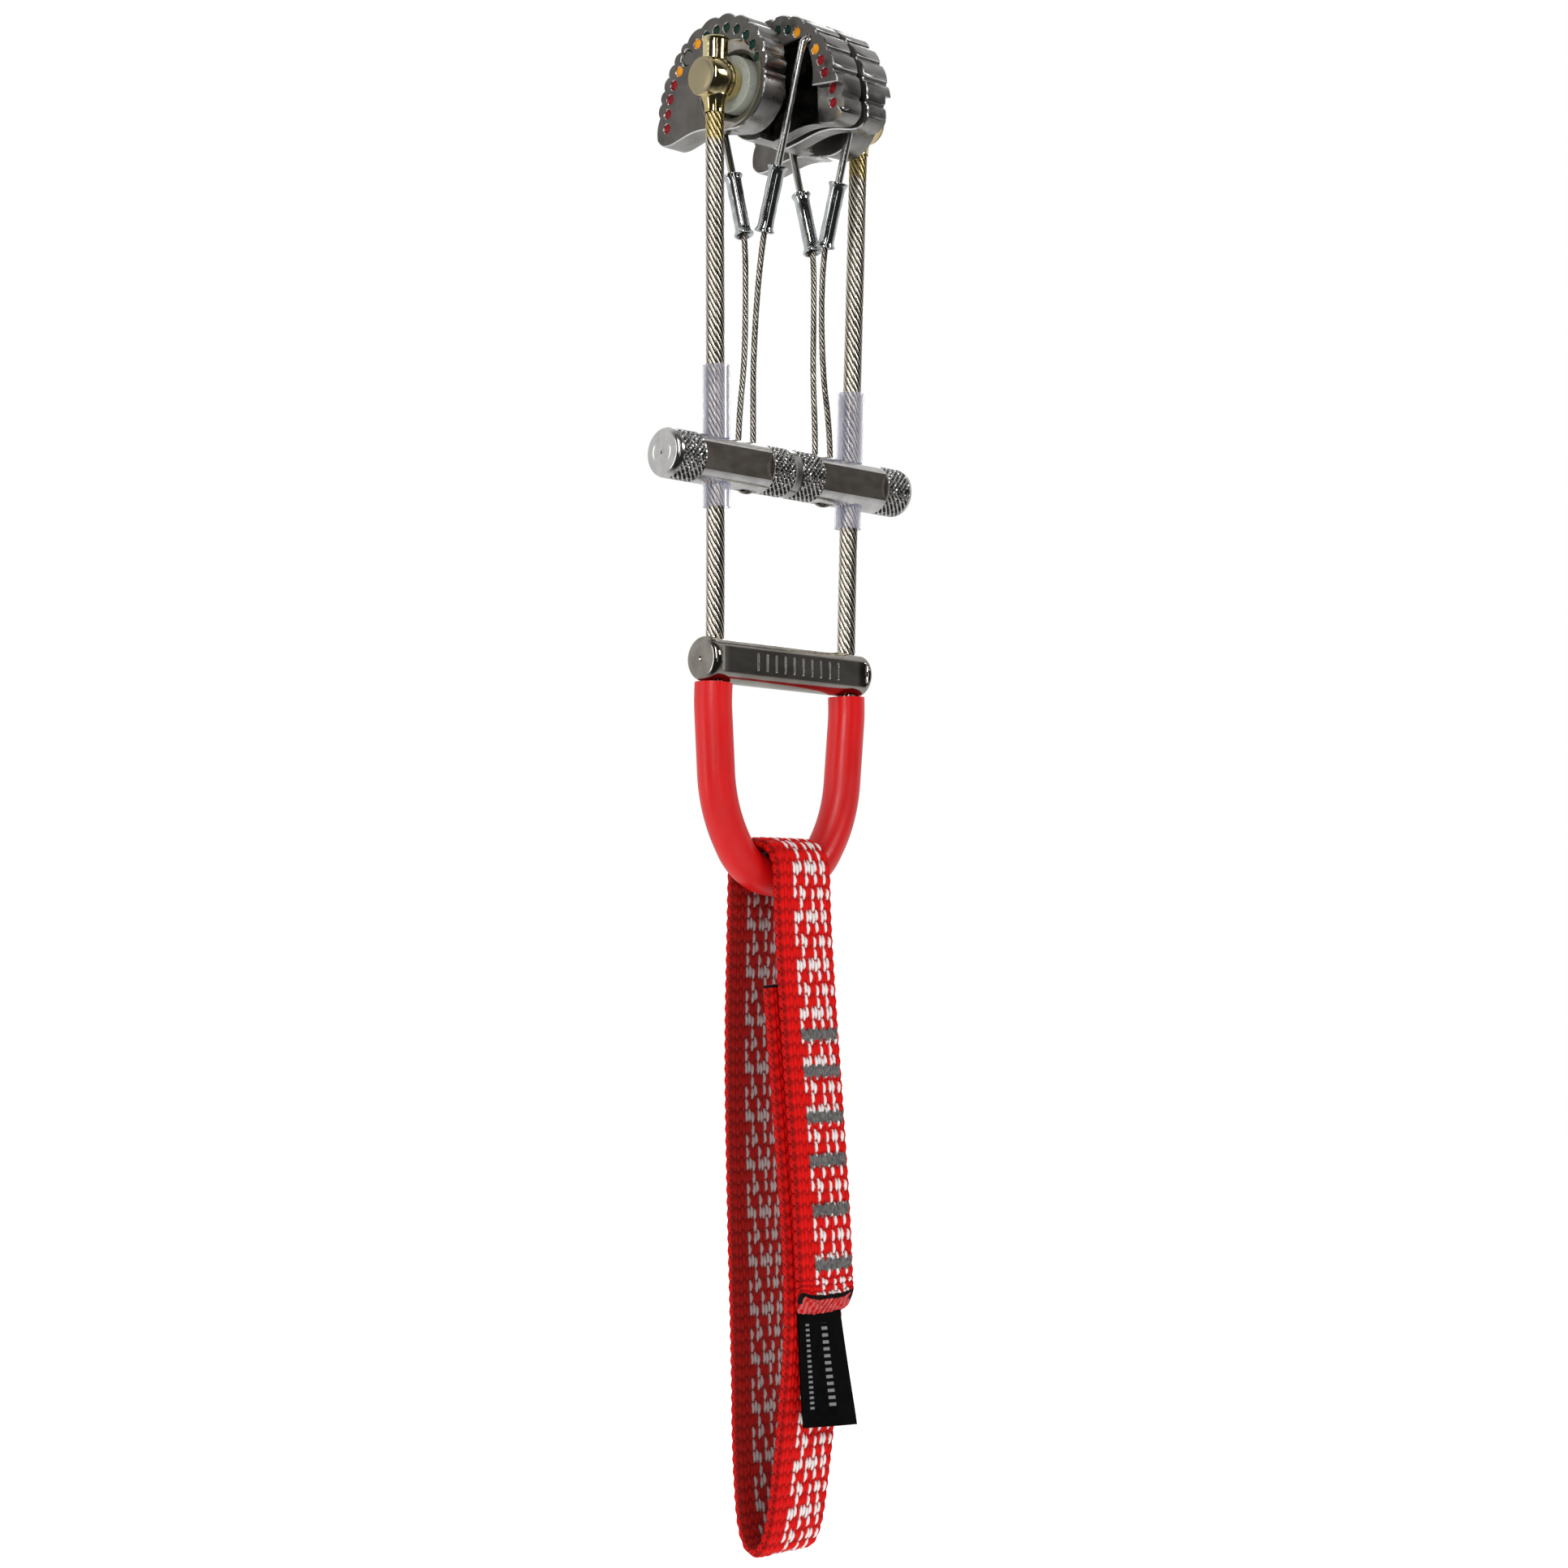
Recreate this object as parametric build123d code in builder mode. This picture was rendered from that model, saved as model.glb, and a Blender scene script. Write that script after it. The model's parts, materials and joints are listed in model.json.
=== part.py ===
from build123d import *
from math import cos, exp, pi, radians, sin, tan
import os

# A spring-loaded camming device: four cam lobes on one axle, a U-shaped cable stem,
# a trigger bar on sleeves, a thumb bar, a sheathed clip-in loop and a sewn sling.
# Frame: millimetres, origin at the centre of the axle, +X along the axle,
# +Z up from the stem to the head, -Y to the front of the sling.

os.makedirs("parts", exist_ok=True)

# ---------------------------------------------------------------- driving dimensions
CAM_ANGLE = 13.25            # degrees between the rim and a circle, a constant-angle cam
RIM_RADIUS = 21.0            # rim radius at RIM_START
RIM_START = -9.1             # degrees above +Y
RIM_GROWTH = tan(radians(CAM_ANGLE))
TIP_ANGLE = -19.0            # where the rim ends at the tip
TAIL_ANGLE = 182.0           # where the rim ends at the tail
HUB_RADIUS = 9.75
HUB_ARC_ANGLE = -136
HUB_FOOT = (0.3, -8.7)
UNDERSIDE = [(7.3, -7.5), (11.0, -7.55), (15.1, -8.4), (19.0, -8.55)]
TIP_CORNER = (20.0, -7.9)
LOBE_FACES = {               # x of the outer face and the inner face of the +X lobes
    "outer": (15.74, 10.2),
    "inner": (7.42, 0.8),
}
FINE_NOTCHES = [-7.6, 0.3, 7.7, 16.0, 24.3, 33.2, 41.0, 57.0, 76.0, 95.0, 114.0, 134.6, 153.0, 173.0]
COARSE_NOTCHES = [-11.0, 2.3, 16.2, 30.8, 45.5, 61.0, 78.0, 96.0, 115.0, 134.6, 153.0, 173.0]
NOTCH_DEPTH = {"outer": 0.62, "inner": 0.35}
GROOVE_RADIUS = 0.5
GROOVE_INSET = 0.15
DOT_ANGLES = [-16.1, -7.4, 1.6, 10.9, 20.8, 46.3, 57.4, 70.0, 83.4, 98.4, 115.6, 132.4, 150.8]
DOT_INSET = 3.0              # rim to the centre of a dot
DOT_RADIUS = 0.9
DOT_DEPTH = 0.35
DOT_CHAMFER = 0.15
WIRE_ANGLE = 32.2            # angle of the hole that takes the trigger wire
WIRE_HOLE_RADIUS = 0.85
WIRE_HEAD_RADIUS = 1.35
HEAD_POCKET_RADIUS = 1.6
HEAD_POCKET_DEPTH = 1.0

AXLE_RADIUS = 2.5
AXLE_HALF = 23.45
BORE_CLEARANCE = 0.05

WASHER_RADIUS = 5.45
RECESS_RADIUS = 6.4
RECESS_DEPTH = 3.0
DISH_RADIUS = 8.6
DISH_DEPTH = 1.1
POCKET_DEPTH = 3.4
POCKET_HUB_RADIUS = 7.6
POCKET_RIM_RADIUS = 13.8
TIP_RELIEF = 1.64
TIP_DOT_LIMIT = -5           # dots nearer the tip than this angle lie in the relief

STEM_X_TOP = 19.7            # cable centre at the axle
STEM_RADIUS = 1.8
TERMINAL_INNER = 16.1
TERMINAL_OUTER = 23.4

TRIGGER_Z = -73.3
TRIGGER_LENGTH = 63.5
TRIGGER_RADIUS = 4.75
SLEEVE_RADIUS = 2.6
SLEEVE_BORE = 2.12
SLEEVE_TOP = -55.0
SLEEVE_BOTTOM = -82.0

THUMB_Z = -111.0
THUMB_LENGTH = 42.6
THUMB_RADIUS = 4.3

SHEATH_RADIUS = 3.6
SHEATH_TOP = -115.4
LOOP_Z = -151.5              # cable centre at the bottom of the U

WIRE_RADIUS = 0.75
THIN_CABLE_RADIUS = 0.6
FERRULE_TOP = -15.5
FERRULE_END = -27.9
LEG_END = -68.15             # where a thin cable reaches the top of the trigger bar
LEG_INSIDE = 1.5             # how far a thin cable reaches up into its ferrule

STRAP_WIDTH = 13.6
STRAP_THICKNESS = 2.3
SLING_LEAN = 1.06            # degrees that the hanging sling leans towards +X


def finish_part(builder, name):
    """Label a finished piece and write it to its own file."""
    builder.part.label = name
    export_step(builder.part, f"parts/{name}.step")


def rim_radius(angle):
    """Radius of the constant-angle cam rim at an angle in degrees above +Y."""
    return RIM_RADIUS * exp(-RIM_GROWTH * radians(angle - RIM_START))


def polar(radius, angle):
    """A point of the cam's own plane, from a radius and an angle in degrees."""
    return (radius * cos(radians(angle)), radius * sin(radians(angle)))


WIRE_POINT = polar(rim_radius(WIRE_ANGLE) - DOT_INSET, WIRE_ANGLE)


def rounded_route(points, share=0.45):
    """A path of straight runs joined by tangent arcs as large as the runs allow."""
    radii = []
    for before, corner, after in zip(points, points[1:], points[2:]):
        first = Vector(*corner) - Vector(*before)
        second = Vector(*after) - Vector(*corner)
        shorter = min(first.length, second.length)
        turn = first.get_angle(second)
        radii.append(share * shorter / tan(radians(turn / 2)))
    return radii


# ---------------------------------------------------------------- cam lobes
def cam_lobe(name, kind, side, pointing):
    """One lobe. side is +1 for the +X half of the head, pointing is +1 for a tip at +Y."""
    outer_face, inner_face = LOBE_FACES[kind]
    notches = FINE_NOTCHES if kind == "outer" else COARSE_NOTCHES
    depth = NOTCH_DEPTH[kind]
    outward = (side, 0, 0)
    face_plane = Plane(origin=(side * inner_face, 0, 0), x_dir=(0, 1, 0), z_dir=outward)
    outside = Plane(origin=(side * outer_face, 0, 0), x_dir=(0, 1, 0), z_dir=outward)
    up = face_plane.y_dir.Z

    def place(point):
        """A point of the cam, x towards the tip and y up, in the sketch plane."""
        return (pointing * point[0], up * point[1])

    stops = [TIP_ANGLE] + notches + [TAIL_ANGLE]
    with BuildPart() as lobe:
        with BuildSketch(face_plane):
            with BuildLine():
                ends = []
                for angle in stops:
                    dip = depth if angle in notches else 0
                    ends.append(place(polar(rim_radius(angle) - dip, angle)))
                for first, second, a, b in zip(ends, ends[1:], stops, stops[1:]):
                    middle = (a + b) / 2
                    ThreePointArc(first, place(polar(rim_radius(middle), middle)), second)
                hub_end = place(HUB_FOOT)
                ThreePointArc(ends[-1], place(polar(HUB_RADIUS, HUB_ARC_ANGLE)), hub_end)
                wave = Spline([hub_end] + [place(p) for p in UNDERSIDE],
                              tangents=[place((1, 0.12)), place((1, 0.25))])
                ThreePointArc(wave @ 1, place(TIP_CORNER), ends[0])
            make_face()
            if kind == "inner":
                groove_centres = [place(polar(rim_radius(a) - GROOVE_INSET, a)) for a in notches]
                with Locations(*groove_centres):
                    Circle(GROOVE_RADIUS, mode=Mode.SUBTRACT)
        extrude(amount=outer_face - inner_face)
        # Bore for the axle.
        with BuildSketch(outside):
            Circle(AXLE_RADIUS + BORE_CLEARANCE)
        extrude(amount=-(outer_face - inner_face), mode=Mode.SUBTRACT)
        # Range dots, shallow round dimples along the rim.
        dot_places = [place(polar(rim_radius(a) - DOT_INSET, a)) for a in DOT_ANGLES]
        if kind == "outer":
            # Stepped recess that holds the two nylon washers.
            with BuildSketch(outside):
                Circle(RECESS_RADIUS)
            extrude(amount=-RECESS_DEPTH, mode=Mode.SUBTRACT)
            with BuildSketch(outside):
                Circle(DISH_RADIUS)
            with BuildSketch(outside.offset(-DISH_DEPTH)):
                Circle(RECESS_RADIUS)
            loft(mode=Mode.SUBTRACT)
        else:
            # Deep pocket beside the hub, open at the underside, for the spring and wire.
            with BuildSketch(outside):
                Circle(POCKET_HUB_RADIUS)
                with BuildLine():
                    a = place(polar(POCKET_RIM_RADIUS, 38))
                    b = place(polar(POCKET_RIM_RADIUS, -5))
                    c = place((14.2, -12))
                    d = place((0, -12))
                    e = place((0, 7.4))
                    ThreePointArc(a, place(polar(POCKET_RIM_RADIUS + 0.15, 16)), b)
                    Polyline(b, c, d, e, a)
                make_face()
            extrude(amount=-POCKET_DEPTH, mode=Mode.SUBTRACT)
            # The tip is thinner on this face, below a ledge.
            with BuildSketch(outside):
                with BuildLine():
                    Polyline(place((12.0, -1.1)), place((24.0, -2.3)), place((24.0, -12)),
                             place((12.0, -12)), close=True)
                make_face()
            extrude(amount=-TIP_RELIEF, mode=Mode.SUBTRACT)
        for angle, spot in zip(DOT_ANGLES, dot_places):
            sunk = TIP_RELIEF if kind == "inner" and angle < TIP_DOT_LIMIT else 0
            with BuildSketch(outside.offset(-sunk)):
                with Locations(spot):
                    Circle(DOT_RADIUS + DOT_CHAMFER)
            with BuildSketch(outside.offset(-sunk - DOT_CHAMFER)):
                with Locations(spot):
                    Circle(DOT_RADIUS)
            loft(mode=Mode.SUBTRACT)
            with BuildSketch(outside.offset(-sunk)):
                with Locations(spot):
                    Circle(DOT_RADIUS)
            extrude(amount=-DOT_DEPTH, mode=Mode.SUBTRACT)
        # Hole for the trigger wire, with a pocket for the wire's head on the far side.
        with BuildSketch(outside):
            with Locations(place(WIRE_POINT)):
                Circle(WIRE_HOLE_RADIUS)
        extrude(amount=-(outer_face - inner_face), mode=Mode.SUBTRACT)
        head_plane = outside if kind == "outer" else face_plane.offset(HEAD_POCKET_DEPTH)
        with BuildSketch(head_plane):
            with Locations(place(WIRE_POINT)):
                Circle(HEAD_POCKET_RADIUS)
        extrude(amount=-HEAD_POCKET_DEPTH, mode=Mode.SUBTRACT)
    finish_part(lobe, name)


cam_lobe("cam_lobe_1", "outer", -1, 1)
cam_lobe("cam_lobe_2", "inner", -1, -1)
cam_lobe("cam_lobe_3", "inner", 1, -1)
cam_lobe("cam_lobe_4", "outer", 1, 1)


# ---------------------------------------------------------------- axle and terminals
with BuildPart() as axle:
    with BuildSketch(Plane.YZ.offset(-AXLE_HALF)):
        Circle(AXLE_RADIUS)
    extrude(amount=2 * AXLE_HALF)
    chamfer(edges().filter_by(GeomType.CIRCLE), length=0.3)
finish_part(axle, "axle")


def cable_x(z):
    """Distance of each stem cable from the middle plane at a height, above the thumb bar."""
    return STEM_X_TOP - (STEM_X_TOP - 17.5) * -z / 104.0


def terminal(name, side):
    """Brazed steel terminal: a barrel on the axle, a collar above it and a cable socket below."""
    middle = (TERMINAL_INNER + TERMINAL_OUTER) / 2
    half = (TERMINAL_OUTER - TERMINAL_INNER) / 2
    with BuildPart() as piece:
        # Bulging barrel around the axle, flat at both ends.
        with BuildSketch(Plane.XY):
            with BuildLine():
                inner = (side * TERMINAL_INNER, 3.6)
                outer = (side * TERMINAL_OUTER, 3.55)
                ThreePointArc(inner, (side * middle, 4.25), outer)
                Polyline(outer, (side * TERMINAL_OUTER, 0), (side * TERMINAL_INNER, 0), inner)
            make_face()
        revolve(axis=Axis.X)
        # Upright collar with a lip at its mouth.
        with BuildSketch(Plane.XZ):
            with BuildLine():
                Polyline((side * STEM_X_TOP, 0), (side * STEM_X_TOP, 8.0))
                Polyline((side * STEM_X_TOP, 8.0), (side * (STEM_X_TOP - 2.4), 8.0),
                         (side * (STEM_X_TOP - 2.65), 7.7), (side * (STEM_X_TOP - 2.4), 7.3),
                         (side * (STEM_X_TOP - 2.4), 0), (side * STEM_X_TOP, 0))
            make_face()
        revolve(axis=Axis((side * STEM_X_TOP, 0, 0), (0, 0, 1)))
        # Socket that the braze fills, tapering down onto the cable.
        with BuildSketch(Plane.XZ):
            with BuildLine():
                x0 = side * STEM_X_TOP
                Polyline((x0, 0), (x0 - side * 2.9, 0), (x0 - side * 2.75, -3.4))
                Spline((x0 - side * 2.75, -3.4), (x0 - side * 2.2, -4.6), (x0 - side * 1.95, -6.6))
                Polyline((x0 - side * 1.95, -6.6), (x0, -6.6), (x0, 0))
            make_face()
        revolve(axis=Axis((side * STEM_X_TOP, 0, 0), (0, 0, 1)))
        # Collar mouth, left open above the barrel.
        with BuildSketch(Plane.XY.offset(8.0)):
            with Locations((side * STEM_X_TOP, 0)):
                Circle(1.85)
        extrude(amount=-3.6, mode=Mode.SUBTRACT)
        # Bore for the axle and, from below, the hole for the cable.
        with BuildSketch(Plane.YZ.offset(side * TERMINAL_INNER)):
            Circle(AXLE_RADIUS + 0.01)
        extrude(amount=side * (TERMINAL_OUTER - TERMINAL_INNER + 1), mode=Mode.SUBTRACT)
        with BuildSketch(Plane.XY.offset(-7)):
            with Locations((side * STEM_X_TOP, 0)):
                Circle(STEM_RADIUS + 0.1)
        extrude(amount=4.3, mode=Mode.SUBTRACT)
    finish_part(piece, name)


terminal("terminal_left", -1)
terminal("terminal_right", 1)


# ---------------------------------------------------------------- washers on the axle
def washer(name, start, thickness, radius):
    """Nylon washer on the axle, from x = start."""
    with BuildPart() as ring:
        with BuildSketch(Plane.YZ.offset(start)):
            Circle(radius)
            Circle(AXLE_RADIUS + BORE_CLEARANCE, mode=Mode.SUBTRACT)
        extrude(amount=thickness)
        chamfer(edges().filter_by(GeomType.CIRCLE).group_by(SortBy.RADIUS)[-1], length=0.12)
    finish_part(ring, name)


washer("seat_washer_left", -13.35, 0.55, WASHER_RADIUS)
washer("seat_washer_right", 12.80, 0.55, WASHER_RADIUS)
washer("face_washer_left", -15.85, 2.45, WASHER_RADIUS)
washer("face_washer_right", 13.40, 2.45, WASHER_RADIUS)
washer("centre_washer", -0.75, 1.5, 5.4)


# ---------------------------------------------------------------- torsion springs
def torsion_spring(name, side):
    """Coil on the axle between an outer and an inner lobe, with one leg towards each tip."""
    coil_radius = 3.7
    wire = 0.5
    pitch = 1.12
    turns = 4
    start_x = 4.75
    with BuildPart() as coil:
        with BuildLine():
            turn = Helix(pitch=pitch, height=pitch * turns, radius=coil_radius,
                         center=(side * start_x, 0, 0), direction=(side, 0, 0))
        with BuildSketch(Plane(origin=turn @ 0, z_dir=turn % 0)):
            Circle(wire)
        sweep(path=turn, is_frenet=True)
        # Straight legs, tangent to the coil's two ends.
        for end, direction in ((0, -1), (1, 1)):
            foot = Plane(origin=turn @ end, z_dir=(turn % end) * direction)
            with BuildSketch(foot):
                Circle(wire)
            extrude(amount=5.0)
    finish_part(coil, name)


torsion_spring("lobe_spring_left", -1)
torsion_spring("lobe_spring_right", 1)


# ---------------------------------------------------------------- stem cable and sheath
LOOP_CORNERS = [(18.0, -119.0), (16.4, -139.0), (8.4, LOOP_Z)]
CABLE_TOP = -2.8


def loop_points(start):
    """Corner points of the U below the thumb bar, from the right start to the left one."""
    right = [start] + LOOP_CORNERS
    return right + [(-x, z) for x, z in reversed(right)]


def loop_radii(points):
    """Arc radii of a U, one per corner, as large as its runs allow."""
    return rounded_route([(x, 0, z) for x, z in points])


def swept_tube(name, points, radius, bore=0):
    """Round tube along a route in the middle plane y = 0."""
    with BuildPart() as tube:
        with BuildLine(Plane.XZ):
            route = FilletPolyline(*points, radius=loop_radii(points))
        with BuildSketch(Plane(origin=route @ 0, z_dir=route % 0)):
            Circle(radius)
            if bore:
                Circle(bore, mode=Mode.SUBTRACT)
        sweep(path=route)
    print(name, "volume over section times length", round(
        tube.part.volume / (pi * (radius ** 2 - bore ** 2) * route.length), 4),
        "radii", [round(r, 1) for r in loop_radii(points)])
    finish_part(tube, name)


stem_side = [(STEM_X_TOP, CABLE_TOP), (STEM_X_TOP - 0.1, -9.0), (17.5, -104.0)] + LOOP_CORNERS
swept_tube("stem_cable", stem_side + [(-x, z) for x, z in reversed(stem_side)], STEM_RADIUS)

sheath_start = (17.5 + 0.5 * (-SHEATH_TOP - 104.0) / 15.0, SHEATH_TOP)
swept_tube("loop_sheath", loop_points(sheath_start), SHEATH_RADIUS, STEM_RADIUS + 0.15)


# ---------------------------------------------------------------- thumb bar
with BuildPart() as thumb_bar:
    with BuildSketch(Plane.YZ.offset(-THUMB_LENGTH / 2)):
        with Locations((0, THUMB_Z)):
            Circle(THUMB_RADIUS)
    extrude(amount=THUMB_LENGTH)
    fillet(edges().filter_by(GeomType.CIRCLE), radius=0.8)
    # Flats milled on the front and back, leaving a round collar at each end.
    for front in (-1, 1):
        with BuildSketch(Plane.XZ.offset(-front * (THUMB_RADIUS - 0.75))):
            with Locations((0.9, THUMB_Z)):
                RectangleRounded(THUMB_LENGTH - 5.0, 7.6, 0.6)
        extrude(amount=-front * 2, mode=Mode.SUBTRACT)
    # Centre mark of the lathe on each end.
    for end in (-1, 1):
        with BuildSketch(Plane.YZ.offset(end * THUMB_LENGTH / 2)):
            with Locations((0, THUMB_Z)):
                Circle(0.5)
        extrude(amount=-end * 0.4, mode=Mode.SUBTRACT)
    # Slanted holes for the two legs of the stem cable.
    for side in (-1, 1):
        entry = Vector(side * 17.5, 0, -104.0)
        run = Vector(side * 0.5, 0, -15.0)
        with BuildSketch(Plane(origin=entry, z_dir=run)):
            Circle(STEM_RADIUS + 0.12)
        extrude(amount=14.0, mode=Mode.SUBTRACT)
finish_part(thumb_bar, "thumb_bar")


# ---------------------------------------------------------------- trigger
SLEEVE_SHIFT = 0.22          # the sleeve starts this far inboard of the cable it slides on
HOLE_XS = [-12.3, -8.4, 8.4, 12.6]
with BuildPart() as trigger_bar:
    with BuildSketch(Plane.YZ.offset(-TRIGGER_LENGTH / 2)):
        with Locations((0, TRIGGER_Z)):
            Circle(TRIGGER_RADIUS)
    extrude(amount=TRIGGER_LENGTH)
    chamfer(edges().filter_by(GeomType.CIRCLE), length=0.9)
    # Milled flats on the front and back, between the gripping bands.
    for front in (-1, 1):
        for side in (-1, 1):
            with BuildSketch(Plane.XZ.offset(-front * (TRIGGER_RADIUS - 0.8))):
                with Locations((side * 15.7, TRIGGER_Z)):
                    RectangleRounded(17.8, 8.4, 0.8)
            extrude(amount=-front * 2, mode=Mode.SUBTRACT)
    # Turned rings and a centre mark on the end faces.
    for end in (-1, 1):
        face_x = end * TRIGGER_LENGTH / 2
        with BuildSketch(Plane.YZ.offset(face_x)):
            with Locations((0, TRIGGER_Z)):
                Circle(2.6)
                Circle(2.2, mode=Mode.SUBTRACT)
        extrude(amount=-end * 0.15, mode=Mode.SUBTRACT)
        with BuildSketch(Plane.YZ.offset(face_x)):
            with Locations((0, TRIGGER_Z)):
                Circle(0.6)
        extrude(amount=-end * 0.5, mode=Mode.SUBTRACT)
    # Slanted holes for the sleeves and straight ones for the thin cables.
    for side in (-1, 1):
        top = Vector(side * (cable_x(SLEEVE_TOP) - SLEEVE_SHIFT), 0, SLEEVE_TOP)
        foot = Vector(side * (cable_x(SLEEVE_BOTTOM) - SLEEVE_SHIFT), 0, SLEEVE_BOTTOM)
        with BuildSketch(Plane(origin=top, z_dir=foot - top)):
            Circle(SLEEVE_RADIUS + 0.02)
        extrude(amount=30.0, mode=Mode.SUBTRACT)
    with BuildSketch(Plane.XY.offset(TRIGGER_Z - 8)):
        with Locations(*[(x, 0) for x in HOLE_XS]):
            Circle(THIN_CABLE_RADIUS + 0.1)
    extrude(amount=16, mode=Mode.SUBTRACT)
    # Grooves under the bar that the thin cables lie in.
    for first, second in ((HOLE_XS[0], HOLE_XS[1]), (HOLE_XS[2], HOLE_XS[3])):
        with BuildSketch(Plane.XY.offset(TRIGGER_Z - 5.5)):
            with Locations(((first + second) / 2, 0)):
                SlotOverall(second - first + 1.6, 1.6)
        extrude(amount=2.2, mode=Mode.SUBTRACT)
finish_part(trigger_bar, "trigger_bar")


def sleeve(name, side):
    """Clear plastic tube, fixed in the trigger bar, that slides on a stem cable."""
    top = Vector(side * (cable_x(SLEEVE_TOP) - SLEEVE_SHIFT), 0, SLEEVE_TOP)
    foot = Vector(side * (cable_x(SLEEVE_BOTTOM) - SLEEVE_SHIFT), 0, SLEEVE_BOTTOM)
    with BuildPart() as tube:
        with BuildSketch(Plane(origin=top, z_dir=foot - top)):
            Circle(SLEEVE_RADIUS)
            Circle(SLEEVE_BORE, mode=Mode.SUBTRACT)
        extrude(amount=(foot - top).length)
    finish_part(tube, name)


sleeve("sleeve_left", -1)
sleeve("sleeve_right", 1)


def under_loop(name, first_x, second_x):
    """Thin cable that passes down one hole of the trigger bar and up the next."""
    low = TRIGGER_Z - TRIGGER_RADIUS - THIN_CABLE_RADIUS - 0.1
    top = LEG_END - 0.05
    reach = abs(second_x - first_x) * 0.47
    with BuildPart() as loop:
        with BuildLine(Plane.XZ):
            route = FilletPolyline((first_x, top), (first_x, low), (second_x, low),
                                   (second_x, top), radius=reach)
        with BuildSketch(Plane(origin=route @ 0, z_dir=route % 0)):
            Circle(THIN_CABLE_RADIUS)
        sweep(path=route)
    finish_part(loop, name)


under_loop("bar_cable_left", HOLE_XS[0], HOLE_XS[1])
under_loop("bar_cable_right", HOLE_XS[2], HOLE_XS[3])


# ---------------------------------------------------------------- trigger wires
FERRULE_FOOT_Y = 2.2


def wire_line(pointing, x, z):
    """Point of a trigger wire's straight leg at height z."""
    share = (WIRE_POINT[1] - z) / (WIRE_POINT[1] - FERRULE_END)
    return Vector(x, pointing * (WIRE_POINT[0] + (FERRULE_FOOT_Y - WIRE_POINT[0]) * share), z)


def trigger_wire(number, pointing, x, into, head_x, leg_points):
    """Bent steel wire, the ferrule on its end and the thin cable that leads to the bar.

    x is the plane of the straight leg, into is the direction of the hook along X, and
    head_x is where the wire's flat head sits in the far side of the lobe.
    """
    pivot = Vector(x, pointing * WIRE_POINT[0], WIRE_POINT[1])
    hook_end = Vector(head_x, pivot.Y, pivot.Z)
    wire_end = wire_line(pointing, x, FERRULE_TOP - 6.0)
    with BuildPart() as wire:
        with BuildLine():
            route = FilletPolyline(hook_end, pivot, wire_end, radius=1.1)
        with BuildSketch(Plane(origin=route @ 0, z_dir=route % 0)):
            Circle(WIRE_RADIUS)
        sweep(path=route)
        with BuildSketch(Plane(origin=hook_end, z_dir=(into, 0, 0))):
            Circle(WIRE_HEAD_RADIUS)
        extrude(amount=0.5)
    finish_part(wire, f"trigger_wire_{number}")

    # Crimped ferrule with a trumpet at each end.
    top = wire_line(pointing, x, FERRULE_TOP)
    foot = wire_line(pointing, x, FERRULE_END)
    along = (foot - top).normalized()
    length = (foot - top).length
    half_profile = [(0.85, 0.7), (1.65, 0.0), (1.95, 0.15), (1.95, 0.35), (1.55, 1.2)]
    with BuildPart() as ferrule:
        with BuildSketch(Plane(origin=top, x_dir=(1, 0, 0), z_dir=Vector(1, 0, 0).cross(along))):
            with BuildLine():
                mirrored = [(r, length - d) for r, d in reversed(half_profile)]
                Polyline(*half_profile, *mirrored, close=True)
            make_face()
        revolve(axis=Axis(top, along))
    finish_part(ferrule, f"ferrule_{number}")

    # Thin cable from the mouth of the ferrule to the top of its hole in the trigger bar.
    leg_top = wire_line(pointing, x, FERRULE_END + LEG_INSIDE)
    points = [leg_top] + [Vector(*p) for p in leg_points]
    radii = rounded_route([(p.X, p.Y, p.Z) for p in points])
    with BuildPart() as leg:
        with BuildLine():
            run = FilletPolyline(*points, radius=radii)
        with BuildSketch(Plane(origin=run @ 0, z_dir=run % 0)):
            Circle(THIN_CABLE_RADIUS)
        sweep(path=run)
    area = pi * THIN_CABLE_RADIUS ** 2
    print("cable_leg", number, "volume over section times length",
          round(leg.part.volume / (area * run.length), 4), "radii", [round(r) for r in radii])
    finish_part(leg, f"cable_leg_{number}")


trigger_wire(1, 1, -9.35, -1, -14.78, [(-9.35, 1.9, -29.5), (-9.7, 1.25, -40), (-10.6, 0.35, -53),
                                       (-12.2, 0.03, -64), (HOLE_XS[0], 0, LEG_END)])
trigger_wire(2, -1, -8.3, 1, -1.76, [(-8.3, -1.8, -29.5), (-8.6, -0.75, -40), (-8.75, -0.1, -53),
                                     (-8.45, 0.03, -64), (HOLE_XS[1], 0, LEG_END)])
trigger_wire(3, -1, 8.3, -1, 1.76, [(8.3, -1.8, -29.5), (8.8, -0.85, -40), (10.0, -0.35, -52.5),
                                    (12.4, -0.05, -63.5), (HOLE_XS[3], 0, LEG_END)])
trigger_wire(4, 1, 9.35, 1, 14.78, [(9.35, 1.9, -29.5), (9.0, 1.4, -40), (8.35, 0.8, -53),
                                    (8.43, 0.05, -64), (HOLE_XS[2], 0, LEG_END)])


# ---------------------------------------------------------------- sling
# One length of webbing, given as (y, z) along its middle: from its front cut end up the
# front, over the sheathed loop, down the rear, round the bottom and up behind the front
# strap to its second cut end, where the two layers are sewn together.
SLING_ROUTE = [
    (-12.9, -233.5), (-12.2, -219.0), (-10.4, -200.0), (-8.1, -178.0), (-6.3, -158.0),
    (-6.1, -145.0), (6.1, -145.0), (6.6, -160.0), (7.7, -185.0), (8.3, -215.0),
    (8.1, -240.0), (6.9, -260.0), (3.6, -277.9), (-4.4, -278.0), (-8.6, -262.0),
    (-10.3, -246.0), (-10.5, -233.0), (-9.8, -219.0), (-7.9, -200.0), (-5.0, -172.0),
]
TACK_HEIGHTS = [-181.3, -188.3, -196.7, -204.9, -213.9, -223.9]
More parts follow.
